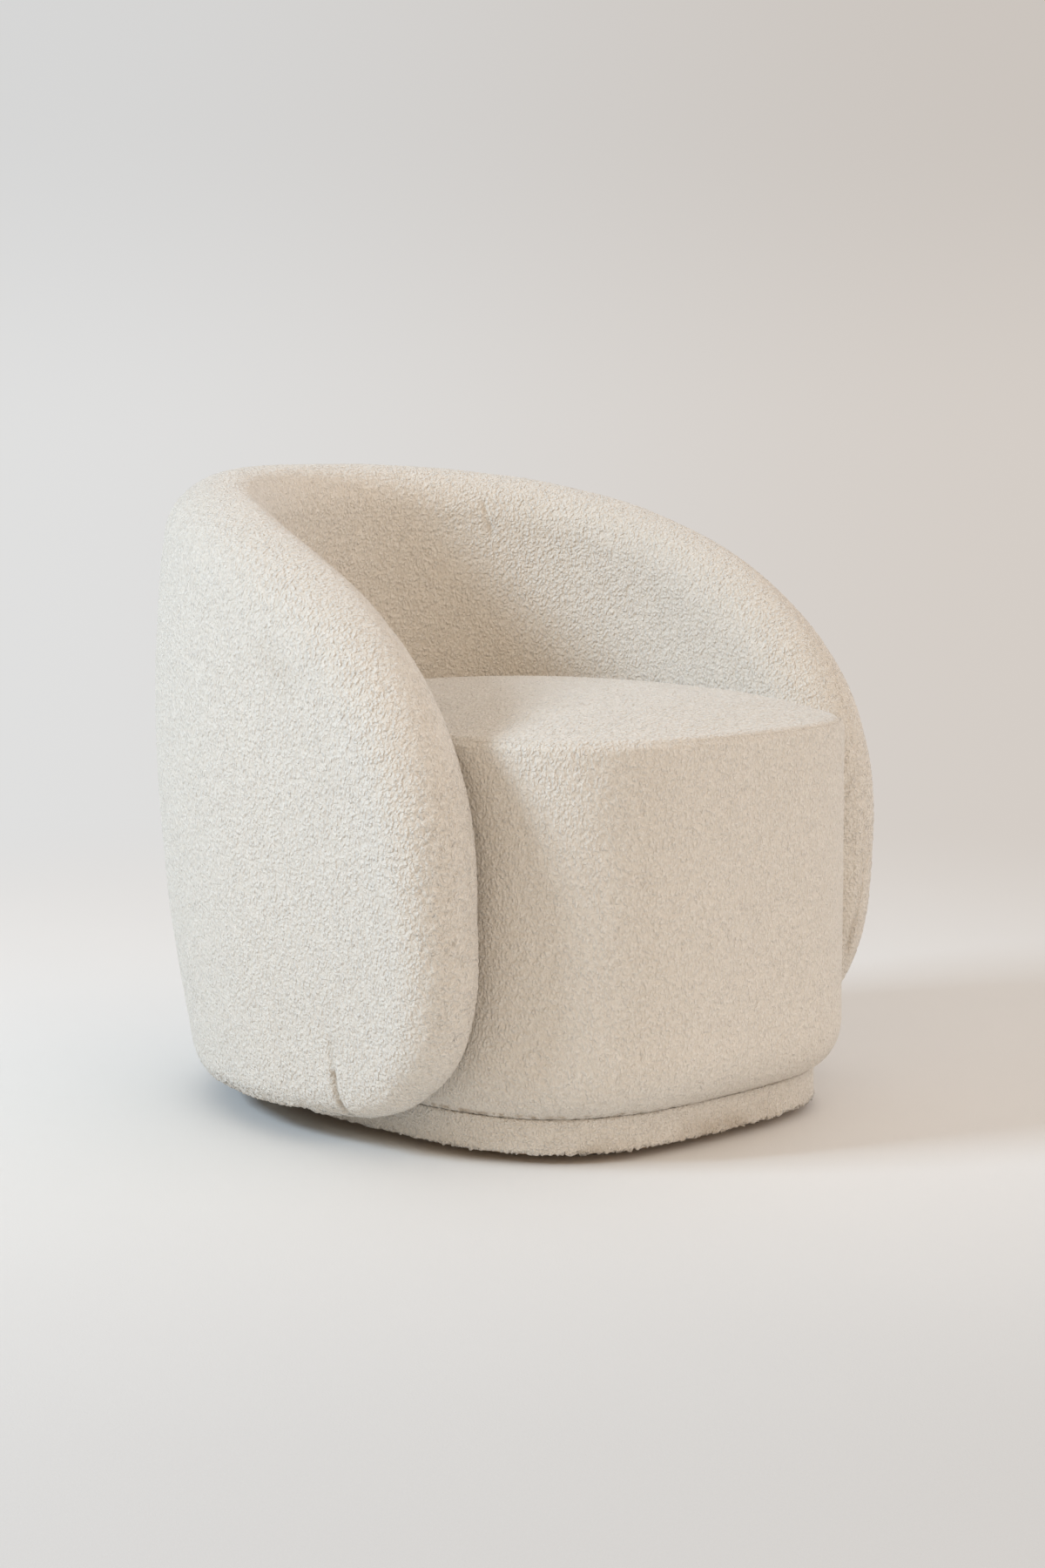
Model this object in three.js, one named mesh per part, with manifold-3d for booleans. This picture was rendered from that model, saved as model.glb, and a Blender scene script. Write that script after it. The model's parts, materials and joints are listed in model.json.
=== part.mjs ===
// Upholstered tub chair: a padded horseshoe shell round a padded seat drum on a low covered plinth.
// Millimetres, +Z up. The chair faces -Y and stands on z = 0, with x = 0 as its plane of symmetry.
import * as THREE from "three";
import { mergeVertices } from "three/addons/utils/BufferGeometryUtils.js";
import Module from "manifold-3d";

const wasm = await Module();
wasm.setup();

// Clearances and small shared sizes
const seatedGap = 0.3; // between pieces that touch
const cutOverrun = 5; // how far a cutting body runs past the face it cuts
const weld = 0.001; // points closer than this are one point
const clothThickness = 3; // looped pile cover with its backing

// The shell: its middle surface follows a horseshoe in plan, drawn as two quarter superellipses
const chairHeight = 720;
const shell = {
  halfWidth: 329, // centre line to the middle of an arm's thickness
  backDepth: 372, // from the plan centre back to the middle of the back
  armDepth: 1270, // the quarter superellipse that the arms follow forwards
  planCentreY: 29,
  backSquareness: 2.07,
  armSquareness: 2.3,
  armReach: 800, // along the middle surface, from the centre of the back to an arm's nose
  noseHeight: 282, // the height at which an arm reaches furthest forwards
  undersideHeight: 24,
  topSweep: 2.41, // exponents of the line that falls from the back to the arms' noses
  topFullness: 2.35,
  lowerSweep: 7.5, // exponents of the line under an arm's nose
  lowerFullness: 3.3,
  halfThickness: 57, // also the radius of the rolled rim
  tuckIn: 51, // how far the outer face draws in at the floor
  tuckStart: 452, // above this height the outer face is upright
  topLean: 26, // how far the rim leans in over the seat
};

// The seat drum, between the arms
const drum = {
  planCentreY: -41,
  frontDepth: 290,
  frontSquareness: 3.05,
  sideClearance: 3.2, // to the arms' inner faces
  edgeHeight: 445, // of the seam round the seat
  crown: 34, // how far the seat rises above that seam
  edgeRadius: 12,
  lowerRadius: 62, // of the roll towards the plinth, in front
  lowerSideShare: 0.2, // the sides draw in by this share of what the front does
  hemInset: 42, // where the cover ends underneath
};

// The plinth under the drum
const plinth = {
  top: 45,
  inset: 40, // inside the drum's front
  coverHem: 0.5, // the cover ends this far above the glides' seat
  railWidth: 88,
};

// Feet, on the front and rear rails
const glide = { height: 10, radius: 15, rim: 1.5, shankRadius: 3, shankLength: 14 };
const glideFrontShare = 0.42; // sideways, of the shell's half width
const glideRearShare = 0.26;
const glideRailShare = 0.76; // inwards, of the rails' width

// Seat box: bent plywood panels round a base board, with webbing across
const box = {
  panelThickness: 18,
  padding: 22, // foam between the panels and the drum's cover
  boardThickness: 18,
  panelLift: 22, // the panels start this far above the plinth
  webbingHeight: 332,
  blockDepth: 34, // of a corner block, along the diagonal
  blockHeight: 230,
};
const webbing = {
  width: 50,
  thickness: 2,
  pitch: 100,
  acrossCount: 4,
  alongCount: 4,
  weaveLift: 2, // a strap rises and falls this far where it crosses another
  setBack: 4, // of the straps' ends from the panels' outer face
  weaveSteps: 4,
};
const feltThickness = 6;

// The shell's frame, inside its foam
const frame = {
  foamInside: 28,
  foamOutside: 15,
  boardThickness: 4,
  ribThickness: 18,
  ribHalfWidth: 18,
  ribLift: 9, // above the shell's underside
  railThickness: 18,
  railSetBack: 6, // of the rail's outer edge from the outer board's face
  topFoam: 24, // over the rail
  noseFoam: 66, // in front of the boards
  ribSetBack: 160, // of the rib's ends from the boards'
  stripThickness: 1, // of the dust cloth under the rib
  postWidth: 40,
};
const postShares = [0, 0.24, 0.5]; // of the boards' length, from the centre of the back

// Bolts from the seat box into the side posts
const bolt = {
  radius: 4,
  headRadius: 7.5, // over the corners of its six sides
  headHeight: 5.3,
  washerRadius: 12,
  washerThickness: 1.6,
  spotFace: 2, // how deep its washer sits in a panel
  height: 150, // above the floor
  forward: 42, // of the front post that takes one, from the drum's widest place
  pitch: 125, // from that post back to the rear one
};
const insert = { radius: 5, length: 14 };

// Colours of the materials
const cream = { color: "#d9d3c6", roughness: 0.95, metalness: 0 };
const creamWorn = { color: "#cfc5b4", roughness: 0.97, metalness: 0 };
const foamWhite = { color: "#e4dcc0", roughness: 0.9, metalness: 0 };
const plywood = { color: "#c9a26b", roughness: 0.7, metalness: 0 };
const beech = { color: "#d2ac7c", roughness: 0.65, metalness: 0 };
const webbingTan = { color: "#7d6a4c", roughness: 0.85, metalness: 0 };
const feltGrey = { color: "#77726b", roughness: 0.95, metalness: 0 };
const dustBlack = { color: "#2b2a2a", roughness: 0.95, metalness: 0 };
const blackPlastic = { color: "#1d1c1b", roughness: 0.5, metalness: 0 };
const zincSteel = { color: "#b4b6b8", roughness: 0.35, metalness: 1 };

// Mesh resolution
const planSamples = 600;
const rimSamples = 90;
const bodySteps = 10; // along each arm, behind its nose
const noseAngles = 3; // round a nose, a rim or an edge, in a quarter turn
const flankRows = 3; // between the top and the bottom roll
const outlineSteps = 10; // in each quarter of the drum's outline
const boardSteps = 18;
const boardRows = 4;
const crownRings = 3;
const roundSides = 16;
const sleeveSides = 8; // of the plain holes through foam, cloth and thin board
const hexSides = 6;

const quarter = Math.PI / 2;
const power = (value, exponent) => Math.sign(value) * Math.abs(value) ** exponent;
const clamp = (value, low, high) => Math.min(high, Math.max(low, value));
const rollShare = (i) => 1 - Math.cos((quarter * i) / noseAngles); // how far a roll has come at its step i
const sleeveRadius = (shank) => (shank + seatedGap) / Math.cos(Math.PI / sleeveSides); // at its corners

// GEOMETRY FROM GRIDS

// A closed geometry from quads of points: shared corners are welded and collapsed triangles dropped
function weldedGeometry(quads) {
  const positions = [];
  const key = (p) => p.map((v) => Math.round(v / weld)).join();
  for (const [a, b, c, d] of quads) {
    for (const triangle of [[a, b, c], [a, c, d]]) {
      const corners = triangle.map((p) => p.toArray());
      if (new Set(corners.map(key)).size === 3) positions.push(...corners.flat());
    }
  }
  const geometry = new THREE.BufferGeometry();
  geometry.setAttribute("position", new THREE.Float32BufferAttribute(positions, 3));
  return mergeVertices(geometry, weld);
}

// Quads between neighbouring rows of a grid
function gridQuads(rows, wrap = false) {
  const quads = [];
  for (let i = 0; i + 1 < rows.length; i++) {
    const count = rows[i].length;
    for (let j = 0; j < (wrap ? count : count - 1); j++) {
      const next = (j + 1) % count;
      quads.push([rows[i][j], rows[i + 1][j], rows[i + 1][next], rows[i][next]]);
    }
  }
  return quads;
}

// A closed body between two grids of points, front[i][j] and back[i][j]
function bodyBetween(front, back) {
  const last = front.length - 1;
  const edge = front[0].length - 1;
  const flip = (quads) => quads.map(([a, b, c, d]) => [a, d, c, b]); // keeps each quad's diagonal
  return weldedGeometry([
    ...gridQuads(front),
    ...flip(gridQuads(back)),
    ...gridQuads([front.map((row) => row[0]), back.map((row) => row[0])]),
    ...flip(gridQuads([front.map((row) => row[edge]), back.map((row) => row[edge])])),
    ...flip(gridQuads([front[0], back[0]])),
    ...gridQuads([front[last], back[last]]),
  ]);
}

// A three.js geometry as a solid that can be joined and cut
function solidFrom(geometry) {
  const bare = geometry.clone();
  bare.deleteAttribute("normal");
  bare.deleteAttribute("uv");
  const merged = mergeVertices(bare, weld);
  const mesh = new wasm.Mesh({
    numProp: 3,
    vertProperties: new Float32Array(merged.attributes.position.array),
    triVerts: new Uint32Array(merged.index.array),
  });
  return new wasm.Manifold(mesh);
}

// A solid as a three.js geometry
function geometryFrom(solid) {
  const mesh = solid.getMesh();
  const geometry = new THREE.BufferGeometry();
  geometry.setAttribute("position", new THREE.Float32BufferAttribute(mesh.vertProperties, mesh.numProp));
  geometry.setIndex(new THREE.BufferAttribute(new Uint32Array(mesh.triVerts), 1));
  geometry.computeVertexNormals();
  return geometry;
}

// A body less others
const cut = (body, ...tools) => tools.reduce((rest, tool) => rest.subtract(tool), body);

// THE SHELL'S FORM

// Plan of the middle surface from the centre of the back forwards, with the arc length at each point
const plan = [];
for (let i = 0; i <= 2 * planSamples; i++) {
  const onArm = i > planSamples;
  const angle = (quarter * (onArm ? i - planSamples : i)) / planSamples;
  const exponent = 2 / (onArm ? shell.armSquareness : shell.backSquareness);
  const across = power(onArm ? Math.cos(angle) : Math.sin(angle), exponent);
  const along = power(onArm ? Math.sin(angle) : Math.cos(angle), exponent);
  const x = shell.halfWidth * across;
  const y = shell.planCentreY + (onArm ? -shell.armDepth : shell.backDepth) * along;
  const before = plan[plan.length - 1];
  plan.push({ x, y, s: before ? before.s + Math.hypot(x - before.x, y - before.y) : 0 });
}

// Place and outward direction on the plan at arc length s, on the +X side for s > 0
function planAt(s) {
  const reach = Math.abs(s);
  const side = s < 0 ? -1 : 1;
  let high = plan.findIndex((p) => p.s >= reach);
  high = clamp(high, 1, plan.length - 1);
  const a = plan[high - 1];
  const b = plan[high];
  const share = (reach - a.s) / (b.s - a.s);
  const length = Math.hypot(b.x - a.x, b.y - a.y);
  return {
    x: side * (a.x + share * (b.x - a.x)),
    y: a.y + share * (b.y - a.y),
    outX: (side * (a.y - b.y)) / length,
    outY: (b.x - a.x) / length,
  };
}

const tuck = (z) => shell.tuckIn * Math.max(0, 1 - z / shell.tuckStart) ** 2;
const lean = (z) => shell.topLean * Math.max(0, (z - shell.tuckStart) / (chairHeight - shell.tuckStart)) ** 2;
const outerFace = (z) => shell.halfThickness - tuck(z) - lean(z);
const innerFace = (z) => -shell.halfThickness - lean(z);
const middleFace = (z) => (outerFace(z) + innerFace(z)) / 2;

// Point at arc length s and height z, set off outwards from the plan curve
function onShell(s, z, offset) {
  const p = planAt(s);
  return new THREE.Vector3(p.x + p.outX * offset, p.y + p.outY * offset, z);
}

// The rim in side view, developed flat: its upper and lower line, both drawn in by an inset
function topLine(s, inset = 0) {
  const along = Math.min(1, Math.abs(s) / (shell.armReach - inset));
  const rise = (1 - along ** shell.topSweep) ** (1 / shell.topFullness);
  return shell.noseHeight + (chairHeight - inset - shell.noseHeight) * rise;
}

function lowerLine(s, inset = 0) {
  const along = Math.min(1, Math.abs(s) / (shell.armReach - inset));
  const drop = (1 - along ** shell.lowerSweep) ** (1 / shell.lowerFullness);
  return shell.noseHeight - (shell.noseHeight - shell.undersideHeight - inset) * drop;
}

const rim = [topLine, lowerLine].map((line) =>
  Array.from({ length: rimSamples + 1 }, (_, i) => {
    const s = shell.armReach * Math.sin((quarter * i) / rimSamples);
    return new THREE.Vector2(s, line(s));
  }),
);

function rimDistance(s, z) {
  const p = new THREE.Vector2(Math.abs(s), z);
  let least = Infinity;
  for (const line of rim) {
    for (let i = 0; i + 1 < line.length; i++) {
      const step = line[i + 1].clone().sub(line[i]);
      const share = clamp(p.clone().sub(line[i]).dot(step) / step.lengthSq(), 0, 1);
      least = Math.min(least, line[i].clone().addScaledVector(step, share).distanceTo(p));
    }
  }
  return least;
}

// The padded shell drawn in evenly by an inset: full thickness inside, a round roll along its whole rim
function shellBody(inset) {
  const reach = shell.armReach - inset;
  const roll = shell.halfThickness - inset;
  const stations = [];
  for (let i = 0; i < noseAngles; i++) stations.push(reach - roll * rollShare(i));
  for (let i = bodySteps; i > 0; i--) stations.push(((reach - roll) * i) / bodySteps);
  const places = [...stations.map((s) => -s), 0, ...stations.slice().reverse()];
  const faces = [[], []];
  for (const s of places) {
    const top = topLine(s, inset);
    const low = lowerLine(s, inset);
    const turn = Math.min(roll, (top - low) / 2);
    const heights = [];
    for (let j = 0; j < noseAngles; j++) heights.push(low + turn * rollShare(j));
    for (let j = 0; j <= flankRows; j++) heights.push(low + turn + ((top - low - 2 * turn) * j) / flankRows);
    for (let j = noseAngles - 1; j >= 0; j--) heights.push(top - turn * rollShare(j));
    const row = heights.map((z) => {
      const thickness = (outerFace(z) - innerFace(z)) / 2 - inset;
      const depth = clamp((rimDistance(s, z) - inset) / thickness, 0, 1);
      return { z, half: thickness * Math.sqrt(1 - (1 - depth) ** 2) };
    });
    // the outermost points lie on the rim itself, where both faces meet
    row[0].half = 0;
    row[row.length - 1].half = 0;
    faces[0].push(row.map(({ z, half }) => onShell(s, z, middleFace(z) - half)));
    faces[1].push(row.map(({ z, half }) => onShell(s, z, middleFace(z) + half)));
  }
  return solidFrom(bodyBetween(faces[0], faces[1]));
}

const valueAt = (value, at) => (typeof value === "function" ? value(at) : value);

// A block bent along the shell: from and to are arc lengths, low and high may follow s, and the offsets
// inner and outer may follow z
function bentBlock({ from, to, low, high, inner, outer, steps = boardSteps, rows = boardRows }) {
  const face = (offset) =>
    Array.from({ length: steps + 1 }, (_, i) => {
      const s = from + ((to - from) * i) / steps;
      return Array.from({ length: rows + 1 }, (_, j) => {
        const z = valueAt(low, s) + ((valueAt(high, s) - valueAt(low, s)) * j) / rows;
        return onShell(s, z, valueAt(offset, z));
      });
    });
  return solidFrom(bodyBetween(face(inner), face(outer)));
}

// THE DRUM'S FORM

// Arc length along the shell at which the drum leaves its inner face
const drumJoint = plan.find((p) => p.y <= drum.planCentreY).s;

// Plan outline of the drum drawn in by an inset: behind, it follows the shell's inner face; in front it is
// a squarish half superellipse. The lower roll draws in the front by more than the sides
function drumOutline(inset, roll = 0) {
  const offset = -(shell.halfThickness + drum.sideClearance + inset + roll * drum.lowerSideShare);
  const side = onShell(drumJoint, 0, offset);
  const depth = drum.frontDepth - inset - roll - (drum.planCentreY - side.y);
  const points = [];
  for (let i = -outlineSteps; i < outlineSteps; i++) {
    points.push(onShell((-drumJoint * i) / outlineSteps, 0, offset));
  }
  for (let i = 0; i < 2 * outlineSteps; i++) {
    const angle = (quarter * i) / outlineSteps;
    const x = -side.x * power(Math.cos(angle), 2 / drum.frontSquareness);
    const y = side.y - depth * power(Math.sin(angle), 2 / drum.frontSquareness);
    points.push(new THREE.Vector3(x, y, 0));
  }
  return points;
}

const drumCentre = new THREE.Vector3(0, drum.planCentreY, 0);

// A body swept round the outline from a profile of { inset, roll, z } points; share draws a ring towards the
// centre
function roundBody(profile, closed = false) {
  const rows = profile.map(({ inset = 0, roll = 0, share = 1, z }) =>
    drumOutline(inset, roll).map((p) => p.lerp(drumCentre, 1 - share).setZ(z)),
  );
  if (closed) rows.push(rows[0]);
  // a quad is split the same way whether its rows go up or down, which keeps nested faces apart
  const quads = gridQuads(rows.reverse(), true).map(([a, b, c, d]) => (a.z > b.z ? [b, c, d, a] : [a, b, c, d]));
  return solidFrom(weldedGeometry(quads));
}

// A plate whose edge is the drum's outline drawn in by { inset, roll }
const plate = (edge, low, high) =>
  roundBody([
    { ...edge, share: 0, z: low },
    { ...edge, z: low },
    { ...edge, z: high },
    { ...edge, share: 0, z: high },
  ]);

// Height of the drum's lower roll where it has drawn in the front by a length
function rollHeight(roll) {
  const across = 1 - roll / drum.lowerRadius;
  return plinth.top + seatedGap + drum.lowerRadius * (1 - Math.sqrt(1 - across ** 2));
}

// The lower roll as points with their outward directions, so that it can be set in evenly
function rollProfile(start) {
  const startAngle = Math.acos(1 - start / drum.lowerRadius);
  return Array.from({ length: noseAngles + 1 }, (_, i) => {
    const angle = startAngle * (1 - i / noseAngles);
    const out = Math.cos(angle);
    const roll = drum.lowerRadius * (1 - out);
    return { roll, z: rollHeight(roll), out, up: -Math.sin(angle) };
  });
}

// The round edge of the seat, between two angles
function edgeProfile(from, to) {
  const { edgeRadius: radius, edgeHeight: height } = drum;
  return Array.from({ length: noseAngles + 1 }, (_, i) => {
    const angle = from + ((to - from) * i) / noseAngles;
    const out = Math.cos(angle);
    const up = Math.sin(angle);
    return { inset: radius * (1 - out), z: height - radius * (1 - up), out, up };
  });
}

const setIn = (points, depth) =>
  points.map(({ inset = 0, roll, z, out, up }) => ({ inset: inset + depth * out, roll, z: z - depth * up }));

// Rings from the seat's edge to its crown, set in by a depth
const crownProfile = (depth) =>
  Array.from({ length: crownRings + 1 }, (_, i) => {
    const share = 1 - (i + 1) / (crownRings + 1);
    return {
      inset: drum.edgeRadius,
      share: i === crownRings ? 0 : share,
      z: drum.edgeHeight - depth + drum.crown * (1 - share ** 2),
    };
  });

// THE MODEL

// The origin is midway between the drum's front and the shell's back
const model = new THREE.Group();
const frontY = drum.planCentreY - drum.frontDepth;
const backY = shell.planCentreY + shell.backDepth + shell.halfThickness;
model.position.y = -(frontY + backY) / 2;

function add(name, solid, finish) {
  const mesh = new THREE.Mesh(geometryFrom(solid), new THREE.MeshStandardMaterial(finish));
  mesh.name = name;
  model.add(mesh);
}

// A box between two corners
function blockBetween(low, high) {
  const size = high.clone().sub(low);
  const geometry = new THREE.BoxGeometry(size.x, size.y, size.z);
  geometry.translate(...low.clone().addScaledVector(size, 0.5).toArray());
  return solidFrom(geometry);
}

const wide = 2 * chairHeight; // larger than the chair, for cutting bodies
const shellRoom = 2 * shell.halfThickness; // wider than one side of the shell, for the same
const corner = (x, y, z) => new THREE.Vector3(x, y, z);

// A turned body on an upright axis from a profile of [radius, height] points
function turned(profile, sides = roundSides) {
  const geometry = new THREE.LatheGeometry(profile.map(([r, h]) => new THREE.Vector2(r, h)), sides);
  geometry.rotateX(quarter);
  return geometry;
}

// Heights that stack up from the floor
const plinthLow = glide.height + seatedGap;
const boardLow = plinth.top + seatedGap;
const boardHigh = boardLow + box.boardThickness;
const panelLow = plinth.top + box.panelLift;
const strapMiddle = box.webbingHeight + seatedGap + webbing.thickness / 2;
const feltLow = strapMiddle + webbing.weaveLift + webbing.thickness / 2 + seatedGap;
const feltHigh = feltLow + feltThickness;
const foamLow = feltHigh + seatedGap;

// Insets from the drum's outline, going inwards
const coverBack = clothThickness + seatedGap;
const panelOuter = coverBack + box.padding;
const panelInner = panelOuter + box.panelThickness;
const insidePanels = panelInner + seatedGap;

// Arc lengths from the centre of the back: the boards' end, and the posts, of which the last two take bolts
const boardEnd = shell.armReach - frame.noseFoam;
const frontPost = Math.min(drumJoint + bolt.forward, boardEnd - frame.postWidth);
const rearPost = frontPost - bolt.pitch;
const postPlaces = [...postShares.map((share) => share * boardEnd), rearPost, frontPost];

// Bolts: place and direction of each, from the seat box outwards into a post
const boltAxes = [];
for (const [side, sign] of [["left", 1], ["right", -1]]) {
  for (const [place, reach] of [["rear", rearPost], ["front", frontPost]]) {
    const s = sign * reach;
    const p = planAt(s);
    boltAxes.push({ name: side + "_" + place, s, out: new THREE.Vector3(p.outX, p.outY, 0) });
  }
}

// A geometry drawn up the Z axis, laid along a bolt's axis with its foot at an offset from the plan curve
function alongBolt(geometry, { s, out }, offset) {
  const turn = new THREE.Quaternion().setFromUnitVectors(corner(0, 0, 1), out);
  const foot = onShell(s, bolt.height, offset);
  return solidFrom(geometry.applyQuaternion(turn).translate(foot.x, foot.y, foot.z));
}

// Offsets from the plan curve: the panels' inner face, and the ends of the inserts
const panelFace = -(shell.halfThickness + drum.sideClearance + panelInner);
const insertFoot = innerFace(0) + coverBack + frame.foamInside + frame.boardThickness + 2 * seatedGap;
const insertEnd = insertFoot + insert.length;

const holeRadius = bolt.radius + seatedGap;
const holeLength = insertFoot - panelFace + 2 * cutOverrun;

// A bolt's hole through a panel, with a flat seat for its washer
function boltHole(axis) {
  const seat = cutOverrun + bolt.spotFace;
  const seatRadius = bolt.washerRadius + seatedGap;
  const profile = [
    [0, 0],
    [seatRadius, 0],
    [seatRadius, seat],
    [holeRadius, seat],
    [holeRadius, holeLength],
    [0, holeLength],
  ];
  return alongBolt(turned(profile), axis, panelFace - cutOverrun);
}
const boltHoles = boltAxes.map(boltHole);

// The plain holes through what lies between the panels and the posts
const sleeves = boltAxes.map((axis) => {
  const radius = sleeveRadius(bolt.radius);
  const profile = [[0, 0], [radius, 0], [radius, holeLength], [0, holeLength]];
  return alongBolt(turned(profile, sleeveSides), axis, panelFace - cutOverrun);
});

// Glides and the plinth
function addGlides() {
  const outline = drumOutline(0, plinth.inset);
  const front = Math.min(...outline.map((p) => p.y));
  const back = Math.max(...outline.map((p) => p.y));
  const places = [
    ["front", front + plinth.railWidth * glideRailShare, glideFrontShare],
    ["rear", back - plinth.railWidth * glideRailShare, glideRearShare],
  ];
  const holes = [];
  for (const [row, y, share] of places) {
    for (const [side, sign] of [["left", 1], ["right", -1]]) {
      const x = sign * share * shell.halfWidth;
      const { height, radius, rim: chamfer, shankRadius, shankLength } = glide;
      const disc = turned([
        [0, 0],
        [radius - chamfer, 0],
        [radius, chamfer],
        [radius, height - chamfer],
        [radius - chamfer, height],
        [shankRadius, height],
        [shankRadius, height + shankLength - shankRadius],
        [0, height + shankLength],
      ]);
      add("glide_" + row + "_" + side, solidFrom(disc.translate(x, y, 0)), blackPlastic);
      const mouth = height - cutOverrun;
      const wall = sleeveRadius(shankRadius);
      const depth = height + shankLength + seatedGap;
      const hole = turned([[0, mouth], [wall, mouth], [wall, depth], [0, depth]], sleeveSides);
      holes.push(solidFrom(hole.translate(x, y, 0)));
    }
  }
  return holes;
}

// The plinth: four rails in the drum's outline, on the glides, inside a cloth band
function addPlinth() {
  const holes = addGlides();
  const edge = { inset: coverBack, roll: plinth.inset };
  const outline = drumOutline(edge.inset, edge.roll);
  const front = Math.min(...outline.map((p) => p.y)) + plinth.railWidth;
  const back = Math.max(...outline.map((p) => p.y)) - plinth.railWidth;
  const side = Math.max(...outline.map((p) => p.x)) - plinth.railWidth;
  const body = cut(plate(edge, plinthLow, plinth.top), ...holes);
  const split = seatedGap / 2;
  const zone = (x0, y0, x1, y1) => blockBetween(corner(x0, y0, -wide), corner(x1, y1, wide));
  add("plinth_rail_front", body.intersect(zone(-wide, -wide, wide, front - split)), plywood);
  add("plinth_rail_rear", body.intersect(zone(-wide, back + split, wide, wide)), plywood);
  add("plinth_rail_left", body.intersect(zone(side, front + split, wide, back - split)), plywood);
  add("plinth_rail_right", body.intersect(zone(-wide, front + split, -side, back - split)), plywood);

  // the band's upper edge meets the drum's lower roll
  const low = plinthLow + plinth.coverHem;
  const high = rollHeight(plinth.inset + clothThickness) - seatedGap;
  const bevel = clothThickness / 2;
  const band = [
    { inset: bevel, z: low },
    { inset: 0, z: low + bevel },
    { inset: 0, z: high - bevel },
    { inset: bevel, z: high },
    { inset: clothThickness, z: high },
    { inset: clothThickness, z: low },
  ].map((point) => ({ ...point, roll: plinth.inset }));
  add("plinth_cover", roundBody(band, true), creamWorn);
}

// The seat box: a base board, four bent panels round it and a block in each corner
function addSeatBox() {
  const edge = { inset: insidePanels - plinth.inset, roll: plinth.inset };
  add("base_board", plate(edge, boardLow, boardHigh), plywood);

  const ring = [
    { inset: panelOuter, z: panelLow },
    { inset: panelOuter, z: box.webbingHeight },
    { inset: panelInner, z: box.webbingHeight },
    { inset: panelInner, z: panelLow },
  ];
  const panels = cut(roundBody(ring, true), ...boltHoles);
  const inside = drumOutline(insidePanels);
  const split = seatedGap / 2;
  // the panels meet where the outline turns through 45 degrees
  const diagonal = (sx, sy) => {
    const reach = (p) => sx * p.x + sy * p.y;
    return inside.reduce((best, p) => (reach(p) > reach(best) ? p : best));
  };
  const front = diagonal(1, -1).y;
  const rear = diagonal(1, 1).y;
  const zone = (x0, y0, x1, y1) => blockBetween(corner(x0, y0, -wide), corner(x1, y1, wide));
  add("box_panel_front", panels.intersect(zone(-wide, -wide, wide, front - split)), plywood);
  add("box_panel_rear", panels.intersect(zone(-wide, rear + split, wide, wide)), plywood);
  add("box_panel_left", panels.intersect(zone(0, front + split, wide, rear - split)), plywood);
  add("box_panel_right", panels.intersect(zone(-wide, front + split, 0, rear - split)), plywood);

  const fill = plate({ inset: insidePanels }, boardHigh + seatedGap, boardHigh + seatedGap + box.blockHeight);
  for (const [row, sy] of [["front", -1], ["rear", 1]]) {
    for (const [side, sx] of [["left", 1], ["right", -1]]) {
      const p = diagonal(sx, sy);
      const out = corner(sx, sy, 0).normalize();
      const face = p.dot(out) - box.blockDepth; // distance of the block's flat face from the origin
      const geometry = new THREE.BoxGeometry(wide, 2 * wide, 2 * wide);
      geometry.translate(face + wide / 2, 0, 0);
      geometry.applyQuaternion(new THREE.Quaternion().setFromUnitVectors(corner(1, 0, 0), out));
      add("corner_block_" + row + "_" + side, fill.intersect(solidFrom(geometry)), beech);
    }
  }
}

// Where an outline crosses a line across the chair (along x at a given y) or along it (along y at a given x)
function crossings(outline, across, place) {
  const [along, over] = across ? ["x", "y"] : ["y", "x"];
  const found = [];
  outline.forEach((a, i) => {
    const b = outline[(i + 1) % outline.length];
    if (a[over] < place !== b[over] < place) {
      found.push(a[along] + ((place - a[over]) / (b[over] - a[over])) * (b[along] - a[along]));
    }
  });
  return [Math.min(...found), Math.max(...found)];
}

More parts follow.
